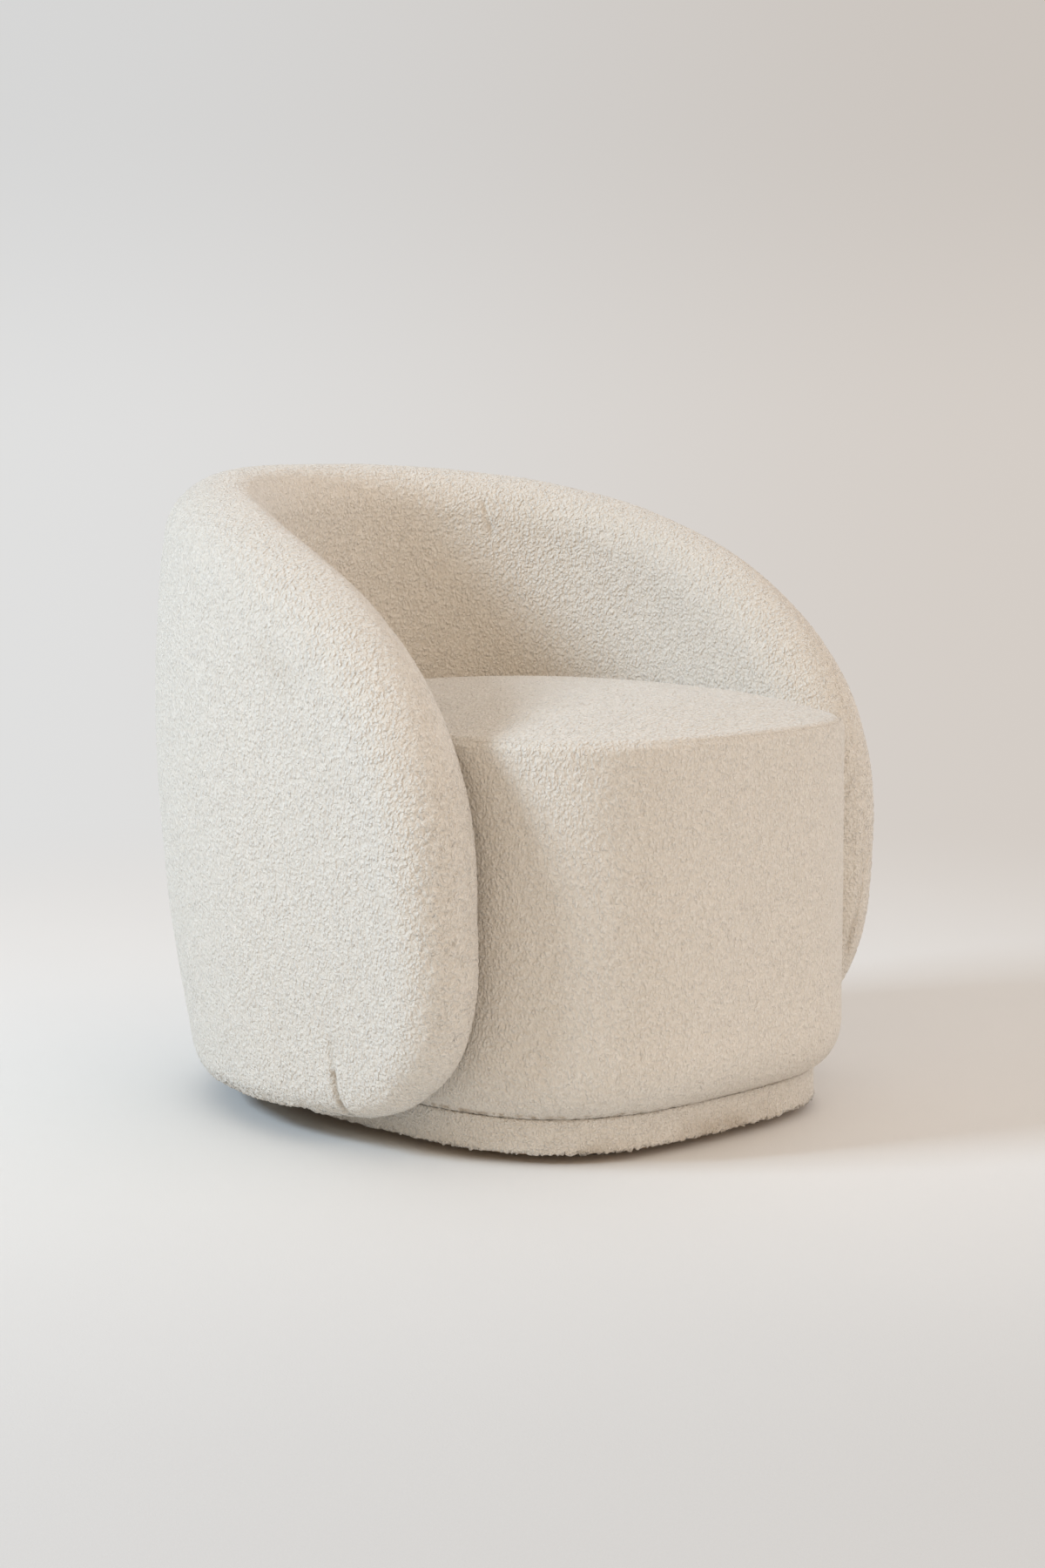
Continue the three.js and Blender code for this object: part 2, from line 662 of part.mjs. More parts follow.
// Webbing, woven over and under, stapled down on the panels
function addWebbing() {
  const { width, thickness, pitch, weaveLift, acrossCount, alongCount } = webbing;
  const outer = drumOutline(panelOuter + webbing.setBack);
  const inner = drumOutline(panelInner);
  const middleY = (Math.min(...inner.map((p) => p.y)) + Math.max(...inner.map((p) => p.y))) / 2;
  const families = [
    { across: true, count: acrossCount, others: alongCount, start: middleY, otherStart: 0, sign: 1 },
    { across: false, count: alongCount, others: acrossCount, start: 0, otherStart: middleY, sign: -1 },
  ];
  for (const { across, count, others, start, otherStart, sign } of families) {
    for (let k = 0; k < count; k++) {
      const place = start + (k - (count - 1) / 2) * pitch;
      // the shorter of the strap's two edges decides where it ends
      const edges = [-width / 2, width / 2];
      const spans = edges.map((edge) => crossings(outer, across, place + edge));
      const clear = edges.map((edge) => crossings(inner, across, place + edge));
      const from = Math.max(...spans.map((span) => span[0]));
      const to = Math.min(...spans.map((span) => span[1]));
      const clearFrom = Math.max(...clear.map((span) => span[0]));
      const clearTo = Math.min(...clear.map((span) => span[1]));
      const middle = (t) => {
        const cell = (t - otherStart) / pitch + (others - 1) / 2;
        const woven = (others * pitch) / 2 - (pitch - width) / 2;
        const end = t < otherStart ? otherStart - clearFrom : clearTo - otherStart;
        const fade = clamp((end - Math.abs(t - otherStart)) / Math.max(end - woven, pitch / 4), 0, 1);
        return strapMiddle + sign * weaveLift * fade * Math.cos(Math.PI * (cell + k));
      };
      const steps = webbing.weaveSteps * (others + 1);
      const upper = [];
      const under = [];
      for (let i = 0; i <= steps; i++) {
        const t = from + ((to - from) * i) / steps;
        const rows = edges.map((edge) => [t, place + edge]);
        const at = (z) => rows.map(([u, v]) => (across ? corner(u, v, z) : corner(v, u, z)));
        upper.push(at(middle(t) + thickness / 2));
        under.push(at(middle(t) - thickness / 2));
      }
      const name = (across ? "webbing_across_" : "webbing_along_") + (k + 1);
      add(name, solidFrom(across ? bodyBetween(upper, under) : bodyBetween(under, upper)), webbingTan);
    }
  }
  add("felt_pad", plate({ inset: panelOuter }, feltLow, feltHigh), feltGrey);
}

// Foam and cover of the drum: a padded wall, a crowned seat and the two cloths that meet at the seat's seam
function addDrum() {
  const foamStart = insidePanels - seatedGap; // in front, the foam's foot lies against the base board's edge
  const wall = [
    ...setIn(rollProfile(drum.hemInset), coverBack),
    { inset: coverBack, z: feltHigh },
    { inset: panelOuter - seatedGap, z: feltHigh },
    { inset: panelOuter - seatedGap, z: panelLow - seatedGap },
    { inset: foamStart, z: panelLow - seatedGap },
    { inset: foamStart, z: boardHigh + seatedGap },
    { inset: foamStart - plinth.inset, roll: plinth.inset, z: boardHigh + seatedGap },
  ];
  add("drum_foam", cut(roundBody(wall, true), ...sleeves), foamWhite);

  const seam = quarter / 2; // the seat's seam lies halfway round the edge
  const outside = [...rollProfile(drum.hemInset), ...edgeProfile(0, seam)];
  const inside = setIn(outside, clothThickness);
  add("drum_cover", cut(roundBody([...outside, ...inside.reverse()], true), ...sleeves), cream);

  const edge = (from, depth) => setIn(edgeProfile(from, quarter), depth);
  const pad = [
    { share: 0, inset: coverBack, z: foamLow },
    { inset: coverBack, z: foamLow },
    ...edge(0, coverBack),
    ...crownProfile(coverBack),
  ];
  add("seat_foam", roundBody(pad), foamWhite);

  const seatSeam = seam + seatedGap / drum.edgeRadius;
  const seatCover = [
    ...[...edge(seatSeam, clothThickness), ...crownProfile(clothThickness)].reverse(),
    ...edge(seatSeam, 0),
    ...crownProfile(0),
  ];
  add("seat_cover", roundBody(seatCover), cream);
}

// The shell's frame: a rib underneath, an inner and an outer board with posts between, and a rail on top
function addFrame() {
  const { boardThickness, ribThickness, ribHalfWidth, ribLift, railThickness, railSetBack, topFoam } = frame;
  const innerBoard = (z) => innerFace(z) + coverBack + frame.foamInside;
  const outerBoard = (z) => outerFace(z) - coverBack - frame.foamOutside;
  const ribLow = (s) => lowerLine(s, ribLift);
  const ribHigh = (s) => ribLow(s) + ribThickness;
  const boardFoot = (s) => ribHigh(s) + seatedGap;
  const railHigh = (s) => topLine(s, topFoam);
  const railLow = (s) => railHigh(s) - railThickness;
  const boardTop = (s) => railLow(s) - seatedGap;
  const whole = { from: -boardEnd, to: boardEnd };

  // the rib has the boards' own bends and ends short of them; gap makes its room
  const ribZone = (low, high, gap) => {
    const end = boardEnd - frame.ribSetBack + gap;
    const bend = {
      low,
      high,
      inner: (z) => middleFace(z) - ribHalfWidth - gap,
      outer: (z) => middleFace(z) + ribHalfWidth + gap,
      rows: 1,
    };
    const room = { low: -cutOverrun, high: shell.noseHeight, inner: -shellRoom, outer: shellRoom, rows: 1 };
    return bentBlock({ ...whole, ...bend }).intersect(bentBlock({ from: -end, to: end, ...room }));
  };
  add("base_rib", ribZone(ribLow, ribHigh, 0), plywood);
  const stripHigh = (s) => ribLow(s) - seatedGap;
  add("underside_cloth", ribZone((s) => stripHigh(s) - frame.stripThickness, stripHigh, 0), dustBlack);
  const inner = bentBlock({
    ...whole,
    low: boardFoot,
    high: boardTop,
    inner: innerBoard,
    outer: (z) => innerBoard(z) + boardThickness,
  });
  add("inner_board", cut(inner, ...sleeves), plywood);
  add(
    "outer_board",
    bentBlock({
      ...whole,
      low: boardFoot,
      high: boardTop,
      inner: (z) => outerBoard(z) - boardThickness,
      outer: outerBoard,
    }),
    plywood,
  );
  add(
    "top_rail",
    bentBlock({
      ...whole,
      low: railLow,
      high: railHigh,
      inner: innerBoard,
      outer: (z) => outerBoard(z) - railSetBack,
      rows: 1,
    }),
    beech,
  );

  const insertHoles = boltAxes.map((axis) => {
    const radius = insert.radius + seatedGap;
    const length = insert.length + cutOverrun;
    const profile = [[0, 0], [radius, 0], [radius, length], [0, length]];
    return alongBolt(turned(profile), axis, insertEnd + seatedGap - length);
  });
  // the posts are cut from the space between the boards
  const core = bentBlock({
    ...whole,
    low: boardFoot,
    high: boardTop,
    inner: (z) => innerBoard(z) + boardThickness + seatedGap,
    outer: (z) => outerBoard(z) - boardThickness - seatedGap,
  });
  postPlaces.forEach((place, number) => {
    for (const [side, sign] of place ? [["_left", 1], ["_right", -1]] : [["", 1]]) {
      const { x, y, outX, outY } = planAt(sign * place);
      const slab = new THREE.BoxGeometry(frame.postWidth, 2 * shellRoom, 2 * wide);
      slab.rotateZ(Math.atan2(outY, outX) - quarter).translate(x, y, 0);
      const post = core.intersect(solidFrom(slab));
      add(place ? "post_" + number + side : "post_middle", cut(post, ...insertHoles), beech);
    }
  });

  // the frame's room in the foam, open underneath
  const ribRoom = ribZone((s) => lowerLine(s) - cutOverrun, (s) => ribHigh(s) + seatedGap, seatedGap);
  const boardRoom = bentBlock({
    from: -boardEnd - seatedGap,
    to: boardEnd + seatedGap,
    low: ribHigh,
    high: railLow,
    inner: (z) => innerBoard(z) - seatedGap,
    outer: (z) => outerBoard(z) + seatedGap,
  });
  const railRoom = bentBlock({
    from: -boardEnd - seatedGap,
    to: boardEnd + seatedGap,
    low: (s) => railLow(s) - cutOverrun,
    high: (s) => railHigh(s) + seatedGap,
    inner: (z) => innerBoard(z) - seatedGap,
    outer: (z) => outerBoard(z) - railSetBack + seatedGap,
    rows: 1,
  });
  return { ribRoom, boardRoom, railRoom };
}

// Foam round the frame and the cover over it, stapled under the base rib
function addShell() {
  const { ribRoom, boardRoom, railRoom } = addFrame();
  add("shell_foam", cut(shellBody(coverBack), ribRoom, boardRoom, railRoom, ...sleeves), foamWhite);
  add("shell_cover", cut(shellBody(0), shellBody(clothThickness), ribRoom, ...sleeves), cream);
}

// Bolts with washers, and the threaded inserts that they screw into
function addBolts() {
  for (const axis of boltAxes) {
    const { radius, headRadius, headHeight, washerRadius, washerThickness } = bolt;
    const washerFoot = panelFace + bolt.spotFace - seatedGap - washerThickness;
    const headLength = headHeight + washerThickness; // as far as the washer's outer face
    const head = new THREE.CylinderGeometry(headRadius, headRadius, headLength, hexSides);
    head.rotateX(quarter).translate(0, 0, washerThickness - headLength / 2);
    const shankEnd = insertEnd - seatedGap - washerFoot;
    const shank = turned([
      [0, 0],
      [washerRadius, 0],
      [washerRadius, washerThickness],
      [radius, washerThickness],
      [radius, shankEnd],
      [0, shankEnd],
    ]);
    const whole = alongBolt(head, axis, washerFoot).add(alongBolt(shank, axis, washerFoot));
    add("bolt_" + axis.name, whole, zincSteel);

    const sleeve = turned([
      [holeRadius, 0],
      [insert.radius, 0],
      [insert.radius, insert.length],
      [holeRadius, insert.length],
      [holeRadius, 0],
    ]);
    add("insert_" + axis.name, alongBolt(sleeve, axis, insertFoot), zincSteel);
  }
}

addPlinth();
addSeatBox();
addWebbing();
addDrum();
addShell();
addBolts();

export default model;
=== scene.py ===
"""Looks of an upholstered tub chair: looped cream cloth over a shell, a seat drum and a plinth.

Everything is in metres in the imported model's frame: +Z up, the chair faces -Y, the floor is z = 0.
"""

import json
import logging
import math
from dataclasses import dataclass, field
from enum import Enum
from typing import Callable

import bmesh
import bpy
import numpy as np
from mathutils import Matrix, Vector

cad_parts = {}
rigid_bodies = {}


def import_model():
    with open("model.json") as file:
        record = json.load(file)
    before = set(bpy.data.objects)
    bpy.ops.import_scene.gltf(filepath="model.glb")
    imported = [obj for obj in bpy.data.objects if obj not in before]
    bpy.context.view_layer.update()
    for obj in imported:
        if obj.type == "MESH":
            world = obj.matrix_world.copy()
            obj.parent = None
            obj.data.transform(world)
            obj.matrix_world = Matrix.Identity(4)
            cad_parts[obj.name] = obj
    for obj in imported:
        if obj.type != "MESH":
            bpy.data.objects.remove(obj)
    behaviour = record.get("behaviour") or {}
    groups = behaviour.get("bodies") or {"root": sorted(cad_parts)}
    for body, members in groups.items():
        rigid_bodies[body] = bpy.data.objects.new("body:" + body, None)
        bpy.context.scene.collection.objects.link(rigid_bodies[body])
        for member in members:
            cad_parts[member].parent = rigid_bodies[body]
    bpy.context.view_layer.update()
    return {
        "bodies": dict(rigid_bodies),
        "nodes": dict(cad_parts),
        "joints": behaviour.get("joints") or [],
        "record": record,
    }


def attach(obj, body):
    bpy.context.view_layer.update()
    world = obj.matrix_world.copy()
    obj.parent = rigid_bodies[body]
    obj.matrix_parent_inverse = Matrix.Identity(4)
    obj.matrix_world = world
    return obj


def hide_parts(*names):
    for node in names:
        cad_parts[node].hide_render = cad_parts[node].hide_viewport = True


log = logging.getLogger("tub_chair")
Array = np.ndarray
Place = tuple[float, float, float]  # or a direction
Colour = tuple[float, float, float]
Band = tuple[float, float]  # between which something rises or fades
Socket = bpy.types.NodeSocket
Link = Socket | float | tuple[float, ...]

CLOTH = 0.003  # thickness of the looped cloth with its backing
GAP = 0.0003  # between pieces that touch
BLACK = (0.0, 0.0, 0.0)


class Slot(Enum):
    """Names of the record's material slots for the soft pieces' cloths."""

    COVER = "cover_cloth"
    PLINTH = "plinth_cloth"


@dataclass(frozen=True)
class ShellSize:
    """The horseshoe shell: a middle surface in plan, a swept rim in side view and the faces' offsets."""

    height: float = 0.72
    half_width: float = 0.329
    back_depth: float = 0.372
    arm_depth: float = 1.27
    plan_centre: float = 0.029
    back_squareness: float = 2.07
    arm_squareness: float = 2.3
    reach: float = 0.8
    nose_height: float = 0.282
    underside: float = 0.024
    top_sweep: float = 2.41
    top_fullness: float = 2.35
    lower_sweep: float = 7.5
    lower_fullness: float = 3.3
    half_thickness: float = 0.057
    tuck_in: float = 0.051
    tuck_start: float = 0.452
    top_lean: float = 0.026


@dataclass(frozen=True)
class DrumSize:
    """The seat drum between the arms."""

    plan_centre: float = -0.041
    front_depth: float = 0.29
    squareness: float = 3.05
    side_clearance: float = 0.0032
    edge_height: float = 0.445
    edge_radius: float = 0.012
    seam_angle: float = math.pi / 4  # up the edge's rounding, where side and seat are sewn
    lower_radius: float = 0.062
    lower_side_share: float = 0.2  # the sides draw in by this share of what the front does
    hem_inset: float = 0.042


@dataclass(frozen=True)
class PlinthSize:
    """The covered plinth under the drum."""

    top: float = 0.045
    inset: float = 0.04
    low: float = 0.0108


SHELL = ShellSize()
DRUM = DrumSize()
PLINTH = PlinthSize()
# The frame's origin is midway between the drum's front and the shell's back
SHIFT = -(
    DRUM.plan_centre - DRUM.front_depth + SHELL.plan_centre + SHELL.back_depth + SHELL.half_thickness
) / 2


def chunked(function: Callable[..., Array], *columns: Array, rows: int = 4000) -> Array:
    """Runs a function on slices of long arrays, to keep its tables small.

    Args:
        function: takes the slices and returns an array as long.
        columns: arrays of the same length.
        rows: how many entries go in at a time.

    Returns:
        The results joined.
    """
    starts = range(0, len(columns[0]), rows)
    return np.concatenate([function(*(c[i : i + rows] for c in columns)) for i in starts])


def eased(values: Array, low: float, high: float) -> Array:
    """0 below low, 1 above high and a smooth rise between."""
    share = ((values - low) / (high - low)).clip(0, 1)
    return share * share * (3 - 2 * share)


def faded(values: Array, low: float, high: float) -> Array:
    """1 below low, 0 above high and a smooth fall between."""
    return eased(-values, -high, -low)


class Plan:
    """Middle line of the shell in plan, from the centre of the back forwards along an arm."""

    samples: int = 500
    step: float = 0.002
    margin: float = 0.1  # past the nose, so that what lies in front of it has a place too

    def __init__(self, size: ShellSize) -> None:
        """Draws the two quarter superellipses and measures along them.

        Args:
            size: the shell's sizes.
        """
        turn = np.linspace(0, math.pi / 2, self.samples)
        sine, cosine = np.sin(turn), np.cos(turn).clip(0)
        back, arm = 2 / size.back_squareness, 2 / size.arm_squareness
        x = size.half_width * np.concatenate([sine**back, (cosine**arm)[1:]])
        y = np.concatenate([size.back_depth * cosine**back, (-size.arm_depth * sine**arm)[1:]])
        y += size.plan_centre + SHIFT
        length = np.concatenate([[0], np.cumsum(np.hypot(np.diff(x), np.diff(y)))])
        self.s = np.arange(0, size.reach + self.margin, self.step)
        self.x = np.interp(self.s, length, x)
        self.y = np.interp(self.s, length, y)
        self.along_x = np.gradient(self.x, self.s)
        self.along_y = np.gradient(self.y, self.s)

    def points(self, s: Array, offset: Array, z: Array) -> Array:
        """Points at arc length s (positive on the +X side), set off outwards, at height z.

        Args:
            s: arc lengths from the centre of the back.
            offset: distances outwards from the middle line.
            z: heights.

        Returns:
            An array of points.
        """
        reach = np.abs(s)
        out_x = -np.interp(reach, self.s, self.along_y)
        out_y = np.interp(reach, self.s, self.along_x)
        x = np.interp(reach, self.s, self.x) + out_x * offset
        y = np.interp(reach, self.s, self.y) + out_y * offset
        return np.stack([np.where(s < 0, -x, x), y, z], -1)

    def locate(self, points: Array) -> tuple[Array, Array]:
        """Arc length and offset of points, the reverse of points().

        Args:
            points: an array of points.

        Returns:
            Arc lengths and offsets.
        """
        x, y = np.abs(points[:, 0]), points[:, 1]

        def nearest(x: Array, y: Array) -> Array:
            """Which sample of the line is nearest."""
            return ((x[:, None] - self.x) ** 2 + (y[:, None] - self.y) ** 2).argmin(1)

        sample = chunked(nearest, x, y)
        dx, dy = x - self.x[sample], y - self.y[sample]
        along_x, along_y = self.along_x[sample], self.along_y[sample]
        s = self.s[sample] + dx * along_x + dy * along_y
        return np.where(points[:, 0] < 0, -s, s), dy * along_x - dx * along_y


class ShellForm:
    """The shell's surface as heights, offsets and distances."""

    rim_samples: int = 180
    roll_rows: int = 12

    def __init__(self, size: ShellSize) -> None:
        """Prepares the plan and the two rim lines.

        Args:
            size: the shell's sizes.
        """
        self.size = size
        self.plan = Plan(size)
        s = size.reach * np.sin(np.linspace(0, math.pi / 2, self.rim_samples))
        lines = [np.stack([s, line(s)], -1) for line in (self.top, self.lower)]
        self.starts = np.concatenate([line[:-1] for line in lines])
        self.steps = np.concatenate([np.diff(line, axis=0) for line in lines])

    def sweep(self, s: Array, power: float, fullness: float) -> Array:
        """How much of its height a rim line has: 1 at the back, 0 at the nose."""
        return (1 - np.minimum(1, np.abs(s) / self.size.reach) ** power) ** (1 / fullness)

    def top(self, s: Array) -> Array:
        """Height of the rim's upper line."""
        rise = self.sweep(s, self.size.top_sweep, self.size.top_fullness)
        return self.size.nose_height + (self.size.height - self.size.nose_height) * rise

    def lower(self, s: Array) -> Array:
        """Height of the rim's lower line."""
        drop = self.sweep(s, self.size.lower_sweep, self.size.lower_fullness)
        return self.size.nose_height - (self.size.nose_height - self.size.underside) * drop

    def faces(self, z: Array) -> tuple[Array, Array]:
        """Where the two faces lie at a height.

        Args:
            z: heights.

        Returns:
            Offsets of the middle of the thickness, and half the thickness.
        """
        size = self.size
        tuck = size.tuck_in * np.maximum(0, 1 - z / size.tuck_start) ** 2
        lean = size.top_lean * np.maximum(0, (z - size.tuck_start) / (size.height - size.tuck_start)) ** 2
        return -tuck / 2 - lean, size.half_thickness - tuck / 2

    def rim_distance(self, s: Array, z: Array) -> Array:
        """Distance to the rim in the developed side view.

        Args:
            s: arc lengths.
            z: heights.

        Returns:
            Distances, negative outside the rim.
        """

        def nearest(s: Array, z: Array) -> Array:
            """Distance to the nearest stretch of the rim lines.

            Args:
                s: arc lengths.
                z: heights.

            Returns:
                Distances.
            """
            from_start = np.stack([s, z], -1)[:, None] - self.starts
            share = (from_start * self.steps).sum(-1) / (self.steps**2).sum(-1)
            return np.linalg.norm(from_start - share.clip(0, 1)[..., None] * self.steps, axis=-1).min(1)

        reach = np.abs(s)
        inside = (reach < self.size.reach) & (z < self.top(reach)) & (z > self.lower(reach))
        return np.where(inside, 1, -1) * chunked(nearest, reach, z)

    def height_above(self, points: Array) -> Array:
        """How far points lie outside the padded surface.

        Args:
            points: an array of points.

        Returns:
            Distances, negative inside it.
        """
        s, offset = self.plan.locate(points)
        z = points[:, 2]
        middle, half = self.faces(z)
        roll = np.maximum(0, half - self.rim_distance(s, z))
        return np.hypot(offset - middle, roll) - half

    def rough_surface(self, spacing: float) -> tuple[Array, Array]:
        """A closed surface of about the right form, to be remeshed.

        Args:
            spacing: distance between its points.

        Returns:
            Points and quads.
        """
        size = self.size
        turn = 1 - np.cos(np.linspace(0, math.pi / 2, self.roll_rows + 1))
        flat = size.reach - size.half_thickness
        even = np.linspace(0, flat, round(flat / spacing))[:-1]
        half = np.concatenate([even, size.reach - size.half_thickness * turn[::-1]])
        stations = np.concatenate([-half[:0:-1], half])
        top, low = self.top(stations), self.lower(stations)
        roll = np.minimum(size.half_thickness, (top - low) / 2)[:, None]
        flank = np.linspace(0, 1, round(size.height / spacing))
        middle_rows = low[:, None] + roll + (top - low - 2 * roll[:, 0])[:, None] * flank[1:-1]
        z = np.concatenate([low[:, None] + roll * turn, middle_rows, top[:, None] - roll * turn[::-1]], 1)
        s = np.repeat(stations[:, None], z.shape[1], 1)
        middle, thick = self.faces(z)
        depth = (self.rim_distance(s.ravel(), z.ravel()).reshape(z.shape) / thick).clip(0, 1)
        swell = thick * np.sqrt(1 - (1 - depth) ** 2)
        swell[:, [0, -1]] = 0
        swell[[0, -1]] = 0
        grid = np.arange(z.size).reshape(z.shape)
        inner = self.plan.points(s, middle - swell, z).reshape(-1, 3)
        outer = self.plan.points(s, middle + swell, z).reshape(-1, 3)
        quads = np.stack([grid[:-1, :-1], grid[1:, :-1], grid[1:, 1:], grid[:-1, 1:]], -1).reshape(-1, 4)
        return np.concatenate([inner, outer]), np.concatenate([quads, quads[:, ::-1] + z.size])


class DrumForm:
    """The seat drum's outline in plan and the curves of its side."""

    arm_start: float = 0.3  # arc length from which the shell's plan runs forwards
    grain: float = 0.0026  # between points in front
    hidden_grain: float = 0.008  # between points behind, where the shell hides the drum
    samples: int = 2000

    def __init__(self, size: DrumSize, shell: ShellForm) -> None:
        """Finds where the drum leaves the shell.

        Args:
            size: the drum's sizes.
            shell: the form that it fits in.
        """
        self.size = size
        self.shell = shell
        plan = shell.plan
        arm = plan.s > self.arm_start
        self.joint = float(np.interp(-(size.plan_centre + SHIFT), -plan.y[arm], plan.s[arm]))
        self.centre = np.array([0, size.plan_centre + SHIFT, 0])
        self.shares = self.even_shares()

    def outline(self, inset: float, roll: float, back: Array, turn: Array) -> Array:
        """Points of the outline drawn in by an inset.

        Args:
            inset: how far the outline is drawn in.
            roll: how far the lower roll draws the front in further, and the sides by their share.
            back: shares of the way round the back, from -1 to 1.
            turn: angles round the front, from 0 to pi.

        Returns:
            An array of points at height 0.
        """
        size, shell = self.size, self.shell
        offset = -(shell.size.half_thickness + size.side_clearance + inset + roll * size.lower_side_share)
        behind = shell.plan.points(back * self.joint, np.full(back.shape, offset), np.zeros(back.shape))
        side = shell.plan.points(np.array([self.joint]), np.array([offset]), np.zeros(1))[0]
        depth = size.front_depth - inset - roll - (self.centre[1] - side[1])
        across = np.sign(np.cos(turn)) * np.abs(np.cos(turn)) ** (2 / size.squareness)
        forward = np.sin(turn).clip(0) ** (2 / size.squareness)
        front = np.stack([side[0] * across, side[1] - depth * forward, np.zeros(turn.shape)], -1)
        return np.concatenate([behind, front])

    def even_shares(self) -> tuple[Array, Array]:
        """Places round the outline at even distances.

        Returns:
            Shares round the back and angles round the front.
        """
        turn = np.linspace(0, math.pi, self.samples)
        points = self.outline(0, 0, np.zeros(0), turn)
        length = np.concatenate([[0], np.cumsum(np.linalg.norm(np.diff(points, axis=0), axis=1))])
        angles = np.interp(np.linspace(0, length[-1], round(length[-1] / self.grain)), length, turn)
        return np.linspace(-1, 1, round(2 * self.joint / self.hidden_grain))[1:-1], angles

    def ring(self, inset: float, z: float, share: float = 1, roll: float = 0) -> Array:
        """One row of points round the drum.

        Args:
            inset: how far it is drawn in.
            z: its height.
            share: 1 on the outline, less towards the centre.
            roll: how far the lower roll has drawn in the front there.

        Returns:
            An array of points.
        """
        points = self.centre + (self.outline(inset, roll, *self.shares) - self.centre) * share
        points[:, 2] = z
        return points

    def roll_height(self, roll: float) -> float:
        """Height of the lower roll where it has drawn in the front by a length."""
        across = 1 - roll / self.size.lower_radius
        return PLINTH.top + GAP + self.size.lower_radius * (1 - math.sqrt(1 - across**2))

    def side_profile(self, row: float) -> Array:
        """Points of the side's outer face in section, from the hem to the seat's seam.

        Args:
            row: distance between them.

        Returns:
            An array of insets, rolls, heights and the outward direction's two parts.
        """
        size = self.size
        radius, edge_radius = size.lower_radius, size.edge_radius
        start = math.acos(1 - size.hem_inset / radius)
        low = PLINTH.top + GAP + radius
        high = size.edge_height - edge_radius
        rows = []
        for angle in np.linspace(start, 0, round(start * radius / row)):
            out, up = math.cos(angle), -math.sin(angle)
            rows.append((0, radius * (1 - out), low + radius * up, out, up))
        rows += [(0, 0, z, 1, 0) for z in np.linspace(low, high, round((high - low) / row))[1:]]
        # the edge is tighter than the rest, so its rows are twice as close
        for angle in np.linspace(0, size.seam_angle, round(size.seam_angle * edge_radius / row * 2))[1:]:
            out, up = math.cos(angle), math.sin(angle)
            rows.append((edge_radius * (1 - out), 0, high + edge_radius * up, out, up))
        return np.array(rows)


# Of the hash that gives each cell of space its random numbers
AXIS_PRIMES = np.array([73856093, 19349663, 83492791])
CHANNEL_PRIMES = np.array([1, 40503, 12289])
SEED_PRIME = 6291469
MIXING_PRIME = 1274126177
WORD = 0xFFFFFFFF
RANDOM_STEPS = 65536


def hashed(cells: Array, seed: int) -> Array:
    """Three even random numbers for each whole-number cell.

    Args:
        cells: an array of cells.
        seed: another seed gives other numbers.

    Returns:
        Numbers from 0 to 1.
    """
    word = cells.astype(np.int64) @ AXIS_PRIMES + seed * SEED_PRIME
    words = word[:, None] * CHANNEL_PRIMES & WORD
    words = (words ^ (words >> 15)) * MIXING_PRIME & WORD
    return (words ^ (words >> 16)) % RANDOM_STEPS / RANDOM_STEPS


def loops(points: Array, spacing: float, seed: int) -> Array:
    """Height of the cloth's loops: round knots about a spacing apart.

    Args:
        points: where to measure.
        spacing: the usual distance between two loops.
        seed: picks the pattern.

    Returns:
        Heights from about 0 between the loops to 1 on top of one.
    """
    place = points / spacing
    cell = np.floor(place)
    nearest = np.full(len(points), np.inf)
    for step in np.ndindex(3, 3, 3):
        corner = cell + np.array(step) - 1
        knot = corner + hashed(corner, seed)
        nearest = np.minimum(nearest, ((place - knot) ** 2).sum(1))
    return 1 - np.minimum(1, nearest)


def waves(points: Array, shortest: float, longest: float, seed: int, count: int = 28) -> Array:
    """Soft unevenness of padding under cloth.

    Args:
        points: where to measure.
        shortest: the shortest wave.
        longest: the longest wave.
        seed: picks the pattern.
        count: how many waves run through each other.

    Returns:
        Heights with an average size of 1.
    """
    rng = np.random.default_rng(seed)
    direction = rng.normal(size=(count, 3))
    direction /= np.linalg.norm(direction, axis=1)[:, None]
    turns = direction / rng.uniform(shortest, longest, count)[:, None] * 2 * math.pi
    return np.sin(points @ turns.T + rng.uniform(0, 2 * math.pi, count)).sum(1) / math.sqrt(count / 2)


def mesh_object(name: str, points: Array, faces: Array) -> bpy.types.Object:
    """A smooth object from points and quads.

    Args:
        name: its name.
        points: its points.
        faces: its faces.

    Returns:
        The object, in the scene.
    """
    mesh = bpy.data.meshes.new(name)
    mesh.from_pydata(points.tolist(), [], faces.tolist())
    mesh.validate()
    mesh.shade_smooth()
    made = bpy.data.objects.new(name, mesh)
    bpy.context.scene.collection.objects.link(made)
    return made


def ringed(name: str, rows: list[Array], closed: bool) -> bpy.types.Object:
    """A smooth object from rings of points.

    Args:
        name: its name.
        rows: its rings, all of one length.
        closed: whether the last ring meets the first.

    Returns:
        The object, in the scene.
    """
    points = np.concatenate(rows)
    grid = np.arange(len(points)).reshape(len(rows), -1)
    if closed:
        grid = np.concatenate([grid, grid[:1]])
    grid = np.concatenate([grid, grid[:, :1]], 1)
    quads = np.stack([grid[1:, :-1], grid[1:, 1:], grid[:-1, 1:], grid[:-1, :-1]], -1).reshape(-1, 4)
    return mesh_object(name, points, quads)


def vectors_of(items: bpy.types.bpy_prop_collection, key: str) -> Array:
    """Reads one vector from each of a mesh's items.

    Args:
        items: the mesh's items.
        key: the vector's name.

    Returns:
        An array of vectors.
    """
    vectors = np.empty(len(items) * 3)
    items.foreach_get(key, vectors)
    return vectors.reshape(-1, 3)


def points_of(mesh: bpy.types.Mesh) -> Array:
    """The mesh's points as an array."""
    return vectors_of(mesh.vertices, "co")


def normals_of(mesh: bpy.types.Mesh) -> Array:
    """The directions in which the mesh's surface faces at its points."""
    return vectors_of(mesh.vertex_normals, "vector")


